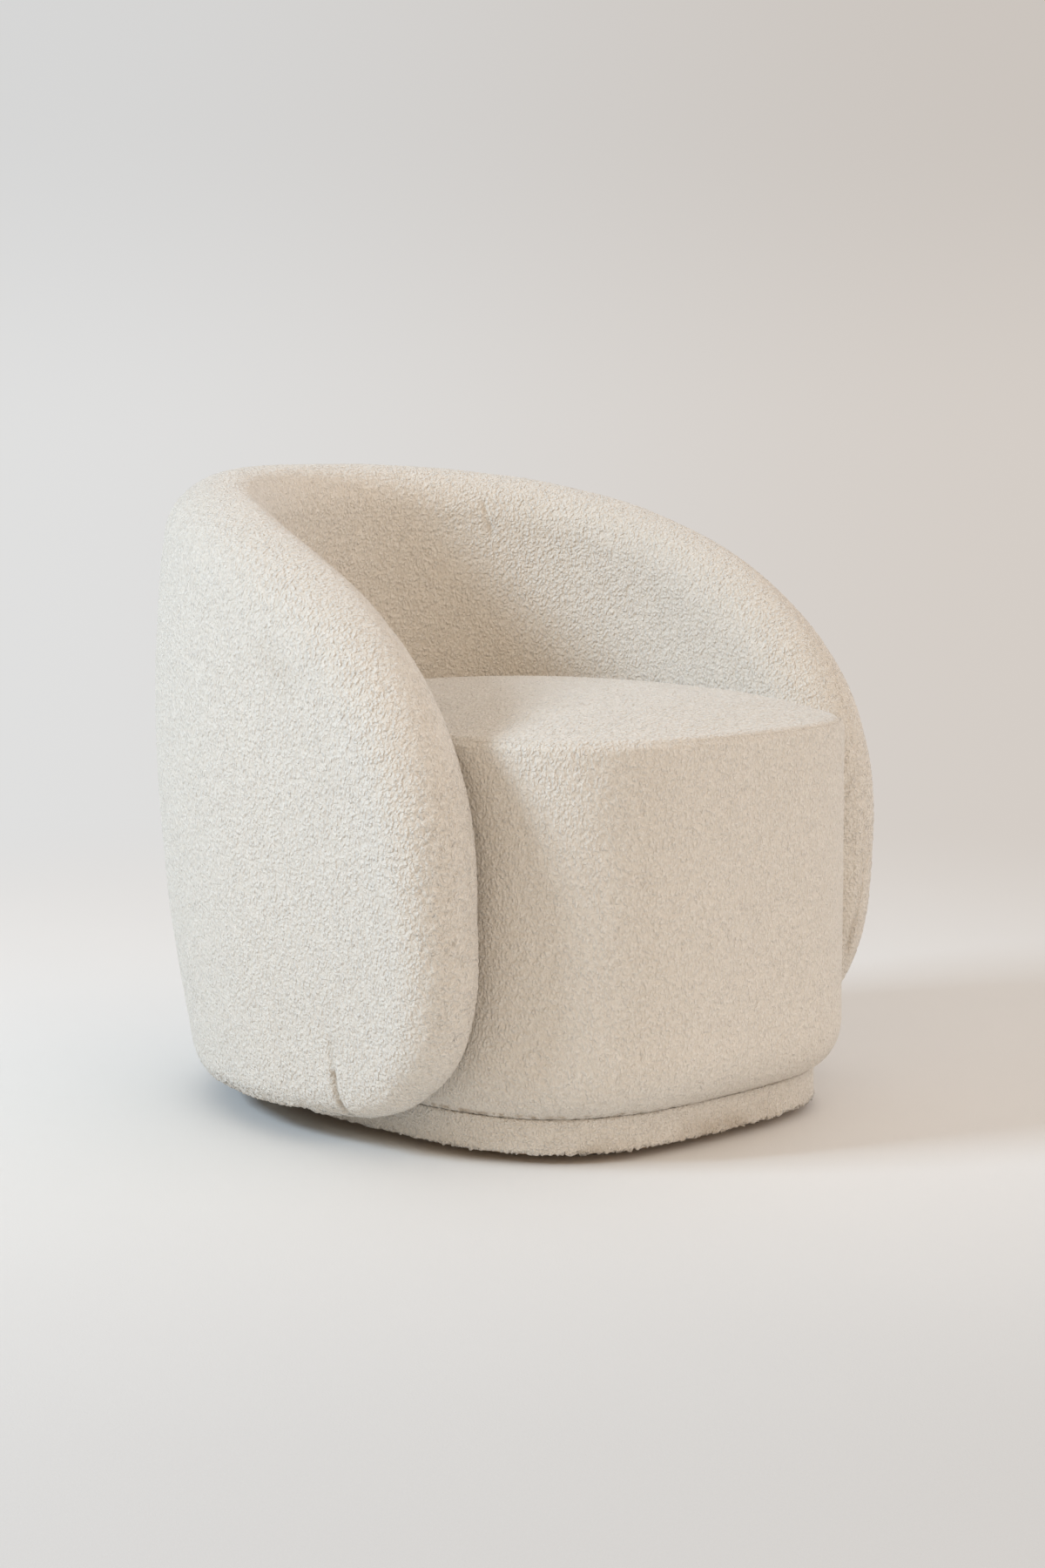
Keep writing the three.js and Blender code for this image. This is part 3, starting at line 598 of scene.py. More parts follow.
def move_points(mesh: bpy.types.Mesh, points: Array) -> None:
    """Moves the mesh's points."""
    mesh.vertices.foreach_set("co", points.ravel())
    mesh.update()


def settle(piece: bpy.types.Object) -> None:
    """Puts the piece's modifiers into its mesh.

    Args:
        piece: the piece.
    """
    graph = bpy.context.evaluated_depsgraph_get()
    mesh = bpy.data.meshes.new_from_object(piece.evaluated_get(graph), depsgraph=graph)
    piece.modifiers.clear()
    piece.data = mesh
    mesh.shade_smooth()


def remesh(piece: bpy.types.Object, voxel: float, smoothing: int = 2) -> None:
    """Gives the piece an even mesh.

    Args:
        piece: the piece.
        voxel: the new mesh's grain.
        smoothing: how often it is smoothed.
    """
    grain = piece.modifiers.new("grain", "REMESH")
    grain.mode = "VOXEL"
    grain.voxel_size = voxel
    smooth = piece.modifiers.new("smooth", "SMOOTH")
    smooth.iterations = smoothing
    settle(piece)


def subdivide(piece: bpy.types.Object) -> None:
    """Halves the grain of the piece's mesh.

    Args:
        piece: the piece.
    """
    finer = piece.modifiers.new("finer", "SUBSURF")
    finer.levels = 1
    settle(piece)


def mark_soil_and_shade(mesh: bpy.types.Mesh, soil_and_shade: Array) -> None:
    """Keeps how far each point is darkened towards the soil colour, by soil and by painted shade, for the
    finish to read.
    """
    mesh.attributes.new("soil_and_shade", "FLOAT", "POINT").data.foreach_set("value", soil_and_shade.astype(np.float32))


def near_line(places: Array, line: Array) -> Array:
    """Distance from places to a line.

    Args:
        places: an array of places.
        line: the line's points.

    Returns:
        Distances.
    """
    least = np.full(len(places), np.inf)
    for start, end in zip(line[:-1], line[1:]):
        along = end - start
        share = ((places - start) @ along / (along**2).sum()).clip(0, 1)
        least = np.minimum(least, np.linalg.norm(places - start - share[:, None] * along, axis=1))
    return least


def opaque(colour: Link) -> Link:
    """A colour with its fourth number."""
    return (*colour, 1.0) if isinstance(colour, tuple) and len(colour) == 3 else colour


class Nodes:
    """A node tree in the making, with short calls that add nodes and join them."""

    def __init__(self, tree: bpy.types.NodeTree) -> None:
        """Takes the tree that the nodes go into."""
        self.tree = tree

    def feed(self, socket: Socket, value: Link) -> None:
        """Gives an input a value, or joins it to another node's output.

        Args:
            socket: the input.
            value: the value or the output.
        """
        if isinstance(value, Socket):
            self.tree.links.new(value, socket)
        else:
            socket.default_value = value

    def node(self, kind: str, inputs: dict[str | int, Link], **settings: object) -> bpy.types.Node:
        """Adds a node.

        Args:
            kind: its type.
            inputs: its inputs by name or number.
            settings: its properties.

        Returns:
            The node.
        """
        made = self.tree.nodes.new(kind)
        for key, value in settings.items():
            setattr(made, key, value)
        for key, value in inputs.items():
            self.feed(made.inputs[key], value)
        return made

    def place(self, scale: Place = (1, 1, 1)) -> Socket:
        """The piece's own coordinates in metres, stretched by a scale."""
        where = self.node("ShaderNodeTexCoord", {}).outputs["Object"]
        return self.node("ShaderNodeMapping", {"Vector": where, "Scale": scale}).outputs[0]

    def sum(self, operation: str, first: Link, second: Link = 0.0) -> Socket:
        """Arithmetic on two numbers."""
        return self.node("ShaderNodeMath", {0: first, 1: second}, operation=operation).outputs[0]

    def vector(self, operation: str, inputs: dict[str | int, Link], output: str = "Vector") -> Socket:
        """Arithmetic on places or directions."""
        return self.node("ShaderNodeVectorMath", inputs, operation=operation).outputs[output]

    def along(self, where: Link, direction: Place) -> Socket:
        """How far a place lies in a direction."""
        return self.vector("DOT_PRODUCT", {0: where, 1: direction}, "Value")

    def height(self, where: Link) -> Socket:
        """How high a place lies."""
        return self.node("ShaderNodeSeparateXYZ", {0: where}).outputs["Z"]

    def span(self, value: Link, low: float, high: float, start: float = 0, end: float = 1) -> Socket:
        """A number carried smoothly from one range to another."""
        inputs = {"Value": value, "From Min": low, "From Max": high, "To Min": start, "To Max": end}
        return self.node("ShaderNodeMapRange", inputs, interpolation_type="SMOOTHSTEP").outputs[0]

    def mix(self, share: Link, first: Link, second: Link, blend: str = "MIX") -> Socket:
        """Two colours mixed."""
        inputs = {0: share, 6: opaque(first), 7: opaque(second)}
        return self.node("ShaderNodeMix", inputs, data_type="RGBA", blend_type=blend).outputs[2]

    def noise(self, where: Link, size: float, detail: float = 2, rough: float = 0.5) -> Socket:
        """Soft noise whose features have a size in metres."""
        inputs = {"Vector": where, "Scale": 1 / size, "Detail": detail, "Roughness": rough}
        return self.node("ShaderNodeTexNoise", inputs).outputs["Fac"]

    def warped(self, where: Link, size: float, strength: float) -> Socket:
        """Coordinates pushed about by noise.

        Args:
            where: the coordinates.
            size: of the noise's features, in metres.
            strength: how far it pushes, in metres.

        Returns:
            The new coordinates.
        """
        inputs = {"Vector": where, "Scale": 1 / size, "Detail": 1.0}
        push = self.node("ShaderNodeTexNoise", inputs).outputs["Color"]
        centred = self.vector("SUBTRACT", {0: push, 1: (0.5, 0.5, 0.5)})
        scaled = self.vector("SCALE", {0: centred, "Scale": strength})
        return self.vector("ADD", {0: where, 1: scaled})

    def knots(self, where: Link, size: float) -> Socket:
        """Round knots of a size in metres: 1 on top of one, 0 between them."""
        cells = self.node("ShaderNodeTexVoronoi", {"Vector": where, "Scale": 1 / size}, feature="F1")
        return self.span(cells.outputs["Distance"], 0.8, 0.0)

    def bump(self, height: Link, distance: float) -> Socket:
        """A surface direction from heights."""
        return self.node("ShaderNodeBump", {"Height": height, "Distance": distance}).outputs[0]

    def looked_at(self) -> Socket:
        """Tells what is looked at from what only sends light.

        Returns:
            1 where the camera, a gloss or something clear looks straight at it, else 0.
        """
        rays = self.node("ShaderNodeLightPath", {})
        seen = self.sum("MAXIMUM", rays.outputs["Is Camera Ray"], rays.outputs["Is Glossy Ray"])
        return self.sum("MAXIMUM", seen, rays.outputs["Is Transmission Ray"])


class Recipe(Nodes):
    """A material in the making."""

    def __init__(self, name: str) -> None:
        """Starts a material with a plain shader.

        Args:
            name: the material's name.
        """
        self.material = bpy.data.materials.new(name)
        self.material.use_nodes = True
        super().__init__(self.material.node_tree)
        self.shader = self.tree.nodes["Principled BSDF"]

    def finish(self, colour: Link, normal: Link, **constants: Link) -> bpy.types.Material:
        """Sets the shader.

        Args:
            colour: its colour.
            normal: its surface direction.
            constants: its other inputs, with underscores for spaces.

        Returns:
            The material.
        """
        self.feed(self.shader.inputs["Base Color"], opaque(colour))
        self.feed(self.shader.inputs["Normal"], normal)
        for key, value in constants.items():
            self.feed(self.shader.inputs[key.replace("_", " ")], value)
        return self.material


@dataclass(frozen=True)
class LoopedCloth:
    """The cream looped cloth, as its pile lies on one piece."""

    name: str
    nap: Place = (1, 1, 1)  # under 1 stretches the loops that way
    colour: Colour = (0.88, 0.84, 0.775)
    painted_gap_shade: Colour = (0.79, 0.74, 0.665)  # painted shade between the loops
    # the colour of soil, also used for painted shade in seams and folds
    soil_and_shade: Colour = (0.42, 0.33, 0.23)
    loop: float = 0.0029
    rise: float = 0.0033
    pits: float = 0.4  # how much the gaps between the loops show
    drift: Band = (0.012, 0.002)  # how widely and how far the loops stray from their rows
    patch: float = 0.06  # size of the patches where the pile lies darker
    patch_share: float = 0.14
    spot: float = 0.012  # size of the spots that break up the soil and the painted shade

    def material(self) -> bpy.types.Material:
        """Builds the material.

        Returns:
            The material.
        """
        make = Recipe(self.name)
        where = make.warped(make.place(self.nap), *self.drift)
        knobbly = make.noise(where, self.loop, 2, 0.62)
        gaps = make.knots(where, self.loop * 1.1)
        pile = make.sum("ADD", knobbly, make.sum("MULTIPLY", gaps, self.pits))
        # painted shade: the low parts of the pile are coloured darker
        colour = make.mix(make.span(pile, 0.42, 0.9), self.painted_gap_shade, self.colour)
        patches = make.noise(make.place(), self.patch, 3, 0.6)
        colour = make.mix(make.span(patches, 0.35, 0.75, end=self.patch_share), colour, self.painted_gap_shade)
        # how far a place goes towards the soil colour: soil, and painted shade in seams and folds
        soil_and_shade = make.node("ShaderNodeAttribute", {}, attribute_name="soil_and_shade").outputs["Fac"]
        spots = make.noise(make.place(), self.spot, 3, 0.7)
        soil_and_shade_share = make.sum("MULTIPLY", soil_and_shade, make.span(spots, 0.2, 0.7, start=0.45))
        return make.finish(
            make.mix(soil_and_shade_share, colour, self.soil_and_shade),
            make.bump(pile, self.rise),
            Roughness=0.95,
            Specular_IOR_Level=0.12,
            Sheen_Weight=0.5,
            Sheen_Roughness=0.4,
            Sheen_Tint=(1.0, 0.97, 0.92, 1.0),
        )


CLOTHS: dict[str, LoopedCloth] = {
    "shell": LoopedCloth("cloth_shell", nap=(1, 1, 0.85), loop=0.0034, rise=0.004),
    "drum": LoopedCloth("cloth_drum", nap=(1, 1, 0.75), loop=0.0031, rise=0.0036),
    "seat": LoopedCloth("cloth_seat", nap=(0.7, 1, 1), loop=0.0031, rise=0.004),
    "plinth": LoopedCloth("cloth_plinth", nap=(1, 1, 0.9), rise=0.0038),
}


@dataclass(frozen=True)
class Plywood:
    """Birch plywood: pale faces with a long grain, and plies along its edges."""

    name: str = "plywood"
    pale: Colour = (0.56, 0.4, 0.24)
    dark: Colour = (0.4, 0.26, 0.14)
    ply: float = 0.0015

    def material(self) -> bpy.types.Material:
        """Builds the material.

        Returns:
            The material.
        """
        make = Recipe(self.name)
        grain = make.noise(make.place((1, 0.12, 1)), 0.006, 4, 0.6)
        plies = make.sum("PINGPONG", make.height(make.place()), self.ply)
        plies = make.span(plies, self.ply * 0.4, self.ply * 0.6)
        facing = make.node("ShaderNodeNewGeometry", {}).outputs["True Normal"]
        upright = make.span(make.sum("ABSOLUTE", make.height(facing)), 0.5, 0.2, end=0.6)
        face = make.mix(make.span(grain, 0.35, 0.7), self.pale, self.dark)
        colour = make.mix(make.sum("MULTIPLY", plies, upright), face, self.dark)
        return make.finish(colour, make.bump(grain, 0.0004), Roughness=0.62)


@dataclass(frozen=True)
class Beech:
    """Planed beech with short dark flecks."""

    name: str = "beech"
    pale: Colour = (0.6, 0.4, 0.25)
    dark: Colour = (0.45, 0.27, 0.15)

    def material(self) -> bpy.types.Material:
        """Builds the material.

        Returns:
            The material.
        """
        make = Recipe(self.name)
        grain = make.noise(make.place((1, 1, 0.15)), 0.01, 3, 0.5)
        fleck = make.noise(make.place((1, 1, 0.3)), 0.0016, 1, 0.5)
        colour = make.mix(make.span(grain, 0.3, 0.7, end=0.6), self.pale, self.dark)
        colour = make.mix(make.span(fleck, 0.62, 0.72, end=0.8), colour, self.dark)
        return make.finish(colour, make.bump(grain, 0.0003), Roughness=0.55)


@dataclass(frozen=True)
class Woven:
    """A plain woven or felted stuff: webbing, felt or dust cloth."""

    name: str
    colour: Colour
    shadow: Colour
    thread: float
    rise: float

    def material(self) -> bpy.types.Material:
        """Builds the material.

        Returns:
            The material.
        """
        make = Recipe(self.name)
        part = make.node("ShaderNodeSeparateXYZ", {0: make.place()})
        across = [make.sum("PINGPONG", part.outputs[axis], self.thread) for axis in ("X", "Y")]
        weave = make.sum("DIVIDE", make.sum("ADD", *across), 2 * self.thread)
        fuzz = make.noise(make.place(), self.thread, 3, 0.7)
        height = make.sum("ADD", make.sum("MULTIPLY", weave, 0.6), make.sum("MULTIPLY", fuzz, 0.4))
        colour = make.mix(make.span(height, 0.3, 0.7), self.shadow, self.colour)
        return make.finish(colour, make.bump(height, self.rise), Roughness=0.92)


@dataclass(frozen=True)
class Hard:
    """A moulded or plated hard stuff: the glides' plastic and the bolts' zinc."""

    name: str
    colour: Colour
    worn: Colour
    roughness: float
    metal: float

    def material(self) -> bpy.types.Material:
        """Builds the material.

        Returns:
            The material.
        """
        make = Recipe(self.name)
        scuffs = make.noise(make.place(), 0.004, 4, 0.7)
        colour = make.mix(make.span(scuffs, 0.4, 0.7, end=0.7), self.colour, self.worn)
        rough = make.span(scuffs, 0.3, 0.7, self.roughness, self.roughness + 0.15)
        return make.finish(colour, make.bump(scuffs, 0.0001), Roughness=rough, Metallic=self.metal)


@dataclass(frozen=True)
class Crease:
    """A seam, dart or fold drawn into the cloth on a developed face."""

    line: tuple[Place, ...]  # arc length, height and place across the thickness
    width: float
    depth: float = 0.0  # below 0 it swells out
    # share of the soil colour: soil on a stain, painted shade in a seam or fold
    soil_and_shade: float = 0.0
    both: bool = True  # on both arms, or else only where the arc length says


# the dart's soil share paints shade into its fold
DART: tuple[Crease, ...] = (
    Crease(((0.6386, 0.131, 0.044), (0.637, 0.102, 0.042), (0.6356, 0.078, 0.039)), 0.0036, 0.0016, 0.25),
    Crease(((0.6356, 0.09, 0.04), (0.6357, 0.065, 0.036), (0.635, 0.052, 0.028)), 0.0038, 0.0034, 0.95),
    Crease(((0.635, 0.052, 0.028), (0.634, 0.046, 0.022), (0.629, 0.04, 0.01)), 0.0036, 0.003, 0.6),
)
LOW_BULGE = Crease(((0.664, 0.052, 0.022), (0.7, 0.064, 0.018)), 0.027, -0.0045)
# the seam's soil share paints shade along it
NOSE_SEAM: tuple[Crease, ...] = (
    Crease(
        ((0.797, 0.274, 0.018), (0.7994, 0.249, 0.007), (0.7963, 0.191, -0.002)),
        width=0.003,
        depth=0.0012,
        soil_and_shade=0.12,
        both=False,
    ),
    Crease(
        ((0.7963, 0.191, -0.002), (0.793, 0.172, -0.004), (0.7897, 0.158, -0.004)),
        width=0.0036,
        depth=0.0018,
        soil_and_shade=0.5,
        both=False,
    ),
)
BACK_MARK = Crease(
    ((0.2487, 0.671, -0.054), (0.2542, 0.653, -0.057), (0.2622, 0.635, -0.057)),
    width=0.0042,
    depth=0.0028,
    both=False,
)
ARM_STAIN = Crease(
    ((-0.564, 0.532, 0.057), (-0.585, 0.515, 0.057), (-0.607, 0.503, 0.057)),
    width=0.016,
    soil_and_shade=0.1,
    both=False,
)
CREASES: tuple[Crease, ...] = (*DART, LOW_BULGE, *NOSE_SEAM, BACK_MARK, ARM_STAIN)


@dataclass
class Cover:
    """What every covered piece has: its cloth, its slot and the nodes that it stands for."""

    cloth: LoopedCloth
    stands_for: tuple[str, ...]
    slot: Slot = Slot.COVER
    fill: float = 0.9
    loop: float = 0.0045  # of the loops that are modelled, a size up from the finish's own
    rise: float = 0.0016
    level: float = 0.6  # share of the loops' height that lies under the padding's face
    swell: float = 0.0003  # of the padding's soft waves
    wave: Band = (0.07, 0.15)  # shortest and longest
    tufts: float = 0.0012  # how far single loops stray at a hem
    tuft: float = 0.0025  # size of what strays together
    tuft_seed: int = 40  # added to the piece's own
    seed: int = 1

    def relief(self, points: Array) -> Array:
        """How far the cloth stands off its padding: loops over soft waves.

        Args:
            points: where.

        Returns:
            Distances outwards.
        """
        pile = loops(points * np.array(self.cloth.nap), self.loop, self.seed) - self.level
        return self.rise * pile + self.swell * waves(points, *self.wave, seed=self.seed)

    def stray(self, points: Array, hem: Array) -> Array:
        """Points with the loops along a hem pulled about.

        Args:
            points: the points.
            hem: 1 on the hem, 0 away from it.

        Returns:
            The points moved.
        """
        pull = hashed(np.floor(points / self.tuft), self.seed + self.tuft_seed) - 0.5
        return points + 2 * self.tufts * hem[:, None] * pull

    def dress(self, pieces: list[bpy.types.Object]) -> None:
        """Gives the pieces their cloth, attaches them and hides the nodes that they stand for.

        Args:
            pieces: the pieces of this cover; together they stand for its nodes.
        """
        cloth = self.cloth.material()
        for piece in pieces:
            piece.data.materials.clear()
            piece.data.materials.append(cloth)
            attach(piece, "root")
            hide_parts(*self.stands_for)
            log.info("%s: %d faces", piece.name, len(piece.data.polygons))


@dataclass
class Shell(Cover):
    """The horseshoe shell's cover, sewn from an inside panel and two outside panels."""

    form: ShellForm = field(default_factory=lambda: ShellForm(SHELL))
    creases: tuple[Crease, ...] = ()
    grain: float = 0.011  # of the rough form
    voxel: float = 0.0058
    fittings: int = 2  # how often the points are laid on the surface
    slope_step: float = 1e-4
    least_slope: float = 0.3  # under it a point isn't moved further
    floor_soil: float = 0.25
    darkened: Band = (0.025, 0.05)  # heights
    frayed: Band = (0.04, 0.06)  # heights
    nose: Band = (0.76, 0.79)  # arc lengths
    nose_fray: float = 0.6
    slot_half_width: float = 0.015  # of the opening underneath, where the cover is stapled
    slot_lip: float = 1.6  # how far the cloth turns up beside it, in its half widths
    slot_rise: float = 0.007
    slot_end: float = 0.57
    slot_top: float = 0.06

    def padding(self) -> bpy.types.Object:
        """The padded form with an even mesh, laid exactly on the shell's surface.

        Returns:
            The padding.
        """
        piece = mesh_object("shell_padding", *self.form.rough_surface(self.grain))
        remesh(piece, self.voxel)
        points = points_of(piece.data)
        height_above, step = self.form.height_above, self.slope_step
        for _ in range(self.fittings):
            height = height_above(points)
            slope = np.stack([height_above(points + step * axis) - height for axis in np.eye(3)], -1) / step
            steepness = (slope**2).sum(1).clip(self.least_slope)
            points = points - height[:, None] * slope / steepness[:, None]
        move_points(piece.data, points)
        subdivide(piece)
        return piece

    def build(self) -> None:
        """Builds the cover: padding, relief and creases, cut into its three panels."""
        piece = self.padding()
        mesh = piece.data
        points, normals = points_of(mesh), normals_of(mesh)
        z = points[:, 2].copy()
        s, offset = self.form.plan.locate(points)
        middle, _ = self.form.faces(z)
        outward = offset - middle
        push, soil_and_shade = self.relief(points), self.floor_soil * faded(z, *self.darkened)
        for crease in self.creases:
            developed = np.stack([np.abs(s) if crease.both else s, z, outward], -1)
            fold = np.exp(-((near_line(developed, np.array(crease.line)) / crease.width) ** 2))
            push -= crease.depth * fold
            # painted shade in seams and folds, soil on stains
            soil_and_shade = np.maximum(soil_and_shade, crease.soil_and_shade * fold)
        hem = np.maximum(faded(z, *self.frayed), self.nose_fray * eased(np.abs(s), *self.nose))
        points = self.stray(points + normals * push[:, None], hem)
        under = (points[:, 2] < self.slot_top) & (np.abs(s) < self.slot_end)
        lip = faded(np.abs(outward), self.slot_half_width, self.slot_half_width * self.slot_lip)
        points[:, 2] += self.slot_rise * (under * lip)
        move_points(mesh, points)
        normals = normals_of(mesh)
        faces = np.array([tuple(face.vertices) for face in mesh.polygons])
        bpy.data.objects.remove(piece)
        covered = ~(under & (np.abs(outward) < self.slot_half_width))[faces].all(1)
        inside = outward[faces].mean(1) < 0
        left = points[faces][:, :, 0].mean(1) > 0
        panels = []
        for name, keep in (
            ("shell_cover_inside", inside),
            ("shell_cover_outside_left", ~inside & left),
            ("shell_cover_outside_right", ~inside & ~left),
        ):
            used, flat = np.unique(faces[keep & covered], return_inverse=True)
            panel = mesh_object(name, points[used], flat.reshape(-1, 4))
            panel.data.normals_split_custom_set_from_vertices(normals[used])
            mark_soil_and_shade(panel.data, soil_and_shade[used])
            panels.append(panel)
        self.dress(panels)


@dataclass
class DrumCover(Cover):
    """A cover that follows the drum's outline."""

    form: DrumForm = field(default_factory=lambda: DrumForm(DRUM, ShellForm(SHELL)))


@dataclass
class DrumSide(DrumCover):
    """The drum's side: cloth from the hem underneath, up the wall to the seat's seam."""

    row: float = 0.0026
    hidden_row: float = 0.012  # of the inner face
    seam_depth: float = 0.0012
    seam_band: Band = (0.012, 0.004)  # heights under the edge between which the cloth goes down to it
    speck: float = 0.006  # size of the dark specks along the hem
    speck_seed: int = 5
    specked: Band = (0.5, 0.9)  # random numbers between which a speck turns dark
    darkened: Band = (0.002, 0.006)  # heights over the hem
    hem_darkening: float = 0.9

    def build(self) -> None:
        """Builds the side as a closed skin of the cloth's thickness."""
        form = self.form
        outer = form.side_profile(self.row)
        inner = form.side_profile(self.hidden_row)[::-1]
        rows = [form.ring(inset, z, roll=roll) for inset, roll, z, _, _ in outer]
        for inset, roll, z, out, up in inner:
            rows.append(form.ring(inset + CLOTH * out, z - CLOTH * up, roll=roll))
        piece = ringed("drum_cover_side", rows, closed=True)
        points, normals = points_of(piece.data), normals_of(piece.data)
        shown = np.arange(len(points)) < len(outer) * len(rows[0])
        seam = eased(points[:, 2], *(form.size.edge_height - under for under in self.seam_band))
        push = (self.relief(points) * (1 - seam) - self.seam_depth * seam) * shown
        points = points + normals * push[:, None]
        move_points(piece.data, points)
        specks = hashed(np.floor(points / self.speck), self.speck_seed)[:, 0]
        hem = faded(points[:, 2], *(form.roll_height(PLINTH.inset) + over for over in self.darkened))
        # the hem is coloured darker and browner in specks, just above the plinth
        mark_soil_and_shade(piece.data, self.hem_darkening * hem * eased(specks, *self.specked))
        self.dress([piece])


@dataclass
class SeatPad(DrumCover):
    """The seat: a crowned pad whose cloth is puffed out by simulation and sewn to the drum's side."""

    voxel: float = 0.005
    pressure: float = 4.0
    frames: int = 20
    cap: float = 0.022
    bottom: float = 0.3563
    bottom_shares: tuple[float, ...] = (0, 0.35, 0.7, 0.97)  # rings under the pad, from its centre
    bottom_edge: float = 0.006
    wall_rows: int = 12
    edge_rows: int = 5
    crown_rows: int = 40
    low_crown: float = 0.0325  # before it is puffed out
    fullness: float = 2.6
    seam_gap: float = 0.02  # angle between the side's last row and the pad's first
    let_go: Band = (-0.002, 0.006)  # heights over the edge between which the simulation's hold ends
    looped: Band = (-0.003, 0.008)  # and between which the loops rise

    def blank(self) -> bpy.types.Object:
        """The pad before it is puffed out.

        Returns:
            The pad.
        """
        form, size = self.form, self.form.size
        radius, high = size.edge_radius, size.edge_height - size.edge_radius
        side = CLOTH + 2 * GAP
        rows = [form.ring(side, self.bottom, share) for share in self.bottom_shares]
        wall = np.linspace(self.bottom + self.bottom_edge, high, self.wall_rows)
        rows += [form.ring(side, z) for z in wall]
        for angle in np.linspace(size.seam_angle + self.seam_gap, math.pi / 2, self.edge_rows):
            rows.append(form.ring(radius * (1 - math.cos(angle)), high + radius * math.sin(angle)))
        for share in np.linspace(1, 0, self.crown_rows)[1:]:
            crown = self.low_crown * (1 - share**self.fullness)
            rows.append(form.ring(radius, size.edge_height + crown, share))
        return ringed("seat_cover_pad", rows, closed=False)

    def puff(self, piece: bpy.types.Object) -> None:
        """Lets pressure puff the cloth out, held at the seam and below.

        Args:
            piece: the pad.
        """
        start = points_of(piece.data)
        held = piece.vertex_groups.new(name="held")
        hold = 1 - eased(start[:, 2], *(self.form.size.edge_height + over for over in self.let_go))
        for share in np.unique(np.round(hold, 1)):
            held.add(np.flatnonzero(np.round(hold, 1) == share).tolist(), float(share), "REPLACE")
        cloth = piece.modifiers.new("cloth", "CLOTH")
        cloth.settings.use_pressure = True
        cloth.settings.uniform_pressure_force = self.pressure
        cloth.settings.vertex_group_mass = held.name
        cloth.settings.effector_weights.gravity = 0
        cloth.collision_settings.use_collision = False
        scene = bpy.context.scene
        for frame in range(1, self.frames + 1):
            scene.frame_set(frame)
        settle(piece)
        scene.frame_set(1)
        moved = points_of(piece.data) - start
        length = np.linalg.norm(moved, axis=1)[:, None]
        log.info("the seat was puffed out by up to %.1f mm", 1000 * length.max())
        move_points(piece.data, start + moved * np.tanh(length / self.cap) * self.cap / length.clip(1e-9))

    def build(self) -> None:
        """Builds the seat pad."""
        piece = self.blank()
        remesh(piece, self.voxel)
        self.puff(piece)
        subdivide(piece)
        points, normals = points_of(piece.data), normals_of(piece.data)
        above = eased(points[:, 2], *(self.form.size.edge_height + over for over in self.looped))
        push = self.relief(points) * above
        move_points(piece.data, points + normals * push[:, None])
        mark_soil_and_shade(piece.data, np.zeros(len(points)))
        self.dress([piece])


@dataclass
class PlinthBand(DrumCover):
    """The band of cloth round the plinth, worn and soiled along the floor."""

    row: float = 0.0024
    frayed: Band = (0.001, 0.006)  # heights over the band's lower edge
    fray: float = 1.6
    hang: float = 0.003  # how far a stray loop may hang under it
    smudge: Band = (0.04, 0.2)  # shortest and longest wave of the smudges
    smudge_seed: int = 3
    smudged: Band = (-0.5, 1.6)  # heights of those waves between which it darkens
    darkened: Band = (0.012, 0.04)  # heights
    floor_soil: float = 0.6

    def build(self) -> None:
        """Builds the band as a closed skin."""
        form, low = self.form, PLINTH.low
        high = form.roll_height(PLINTH.inset + CLOTH) - GAP
        lip = CLOTH / 2
        levels = np.linspace(low + lip, high - lip, round((high - low) / self.row))
        section = [(lip, low), *((0, z) for z in levels), (lip, high), (CLOTH, high), (CLOTH, low)]
        rows = [form.ring(inset, z, roll=PLINTH.inset) for inset, z in section]
        piece = ringed("plinth_cover_band", rows, closed=True)
        points, normals = points_of(piece.data), normals_of(piece.data)
        shown = np.arange(len(points)) < (len(rows) - 2) * len(rows[0])
        hem = shown * faded(points[:, 2], *(low + over for over in self.frayed))
        points = self.stray(points + normals * (self.relief(points) * shown)[:, None], self.fray * hem)
        points[:, 2] = points[:, 2].clip(low - self.hang)
        move_points(piece.data, points)
        smudges = eased(waves(points, *self.smudge, seed=self.smudge_seed), *self.smudged)
        mark_soil_and_shade(piece.data, smudges * self.floor_soil * faded(points[:, 2], *self.darkened))
        self.dress([piece])


class Inside:
    """Everything under the covers, which keeps its modelled form and gets its finish."""

    def __init__(self, nodes: dict[str, bpy.types.Object]) -> None:
        """Takes the frame's nodes.

        Args:
            nodes: the nodes by name.
        """
        self.nodes = nodes
        webbing = Woven("webbing", (0.36, 0.27, 0.16), (0.14, 0.1, 0.06), 0.0016, 0.0006)
        felt = Woven("felt", (0.24, 0.22, 0.2), (0.14, 0.13, 0.12), 0.0009, 0.0005)
        dust = Woven("dust_cloth", (0.03, 0.03, 0.03), (0.012, 0.012, 0.012), 0.0008, 0.0002)
        plastic = Hard("glide_plastic", (0.02, 0.02, 0.02), (0.06, 0.06, 0.06), 0.45, 0.0)
        zinc = Hard("zinc_steel", (0.62, 0.63, 0.64), (0.45, 0.45, 0.44), 0.3, 1.0)
        self.finishes: dict[Plywood | Beech | Woven | Hard, tuple[str, ...]] = {
            Plywood(): ("plinth_rail", "base_board", "base_rib", "box_panel", "inner_board", "outer_board"),
            Beech(): ("corner_block", "top_rail", "post"),
            webbing: ("webbing",),
            felt: ("felt_pad",),
            dust: ("underside_cloth",),
            plastic: ("glide",),
            zinc: ("bolt", "insert"),
        }

    def dress(self) -> None:
        """Gives each shown node its finish."""
        for finish, prefixes in self.finishes.items():
            material = finish.material()
            for name, node in self.nodes.items():
                if name.startswith(prefixes):
                    node.data.materials.clear()
                    node.data.materials.append(material)
                    log.info("%s: %s", name, finish.name)


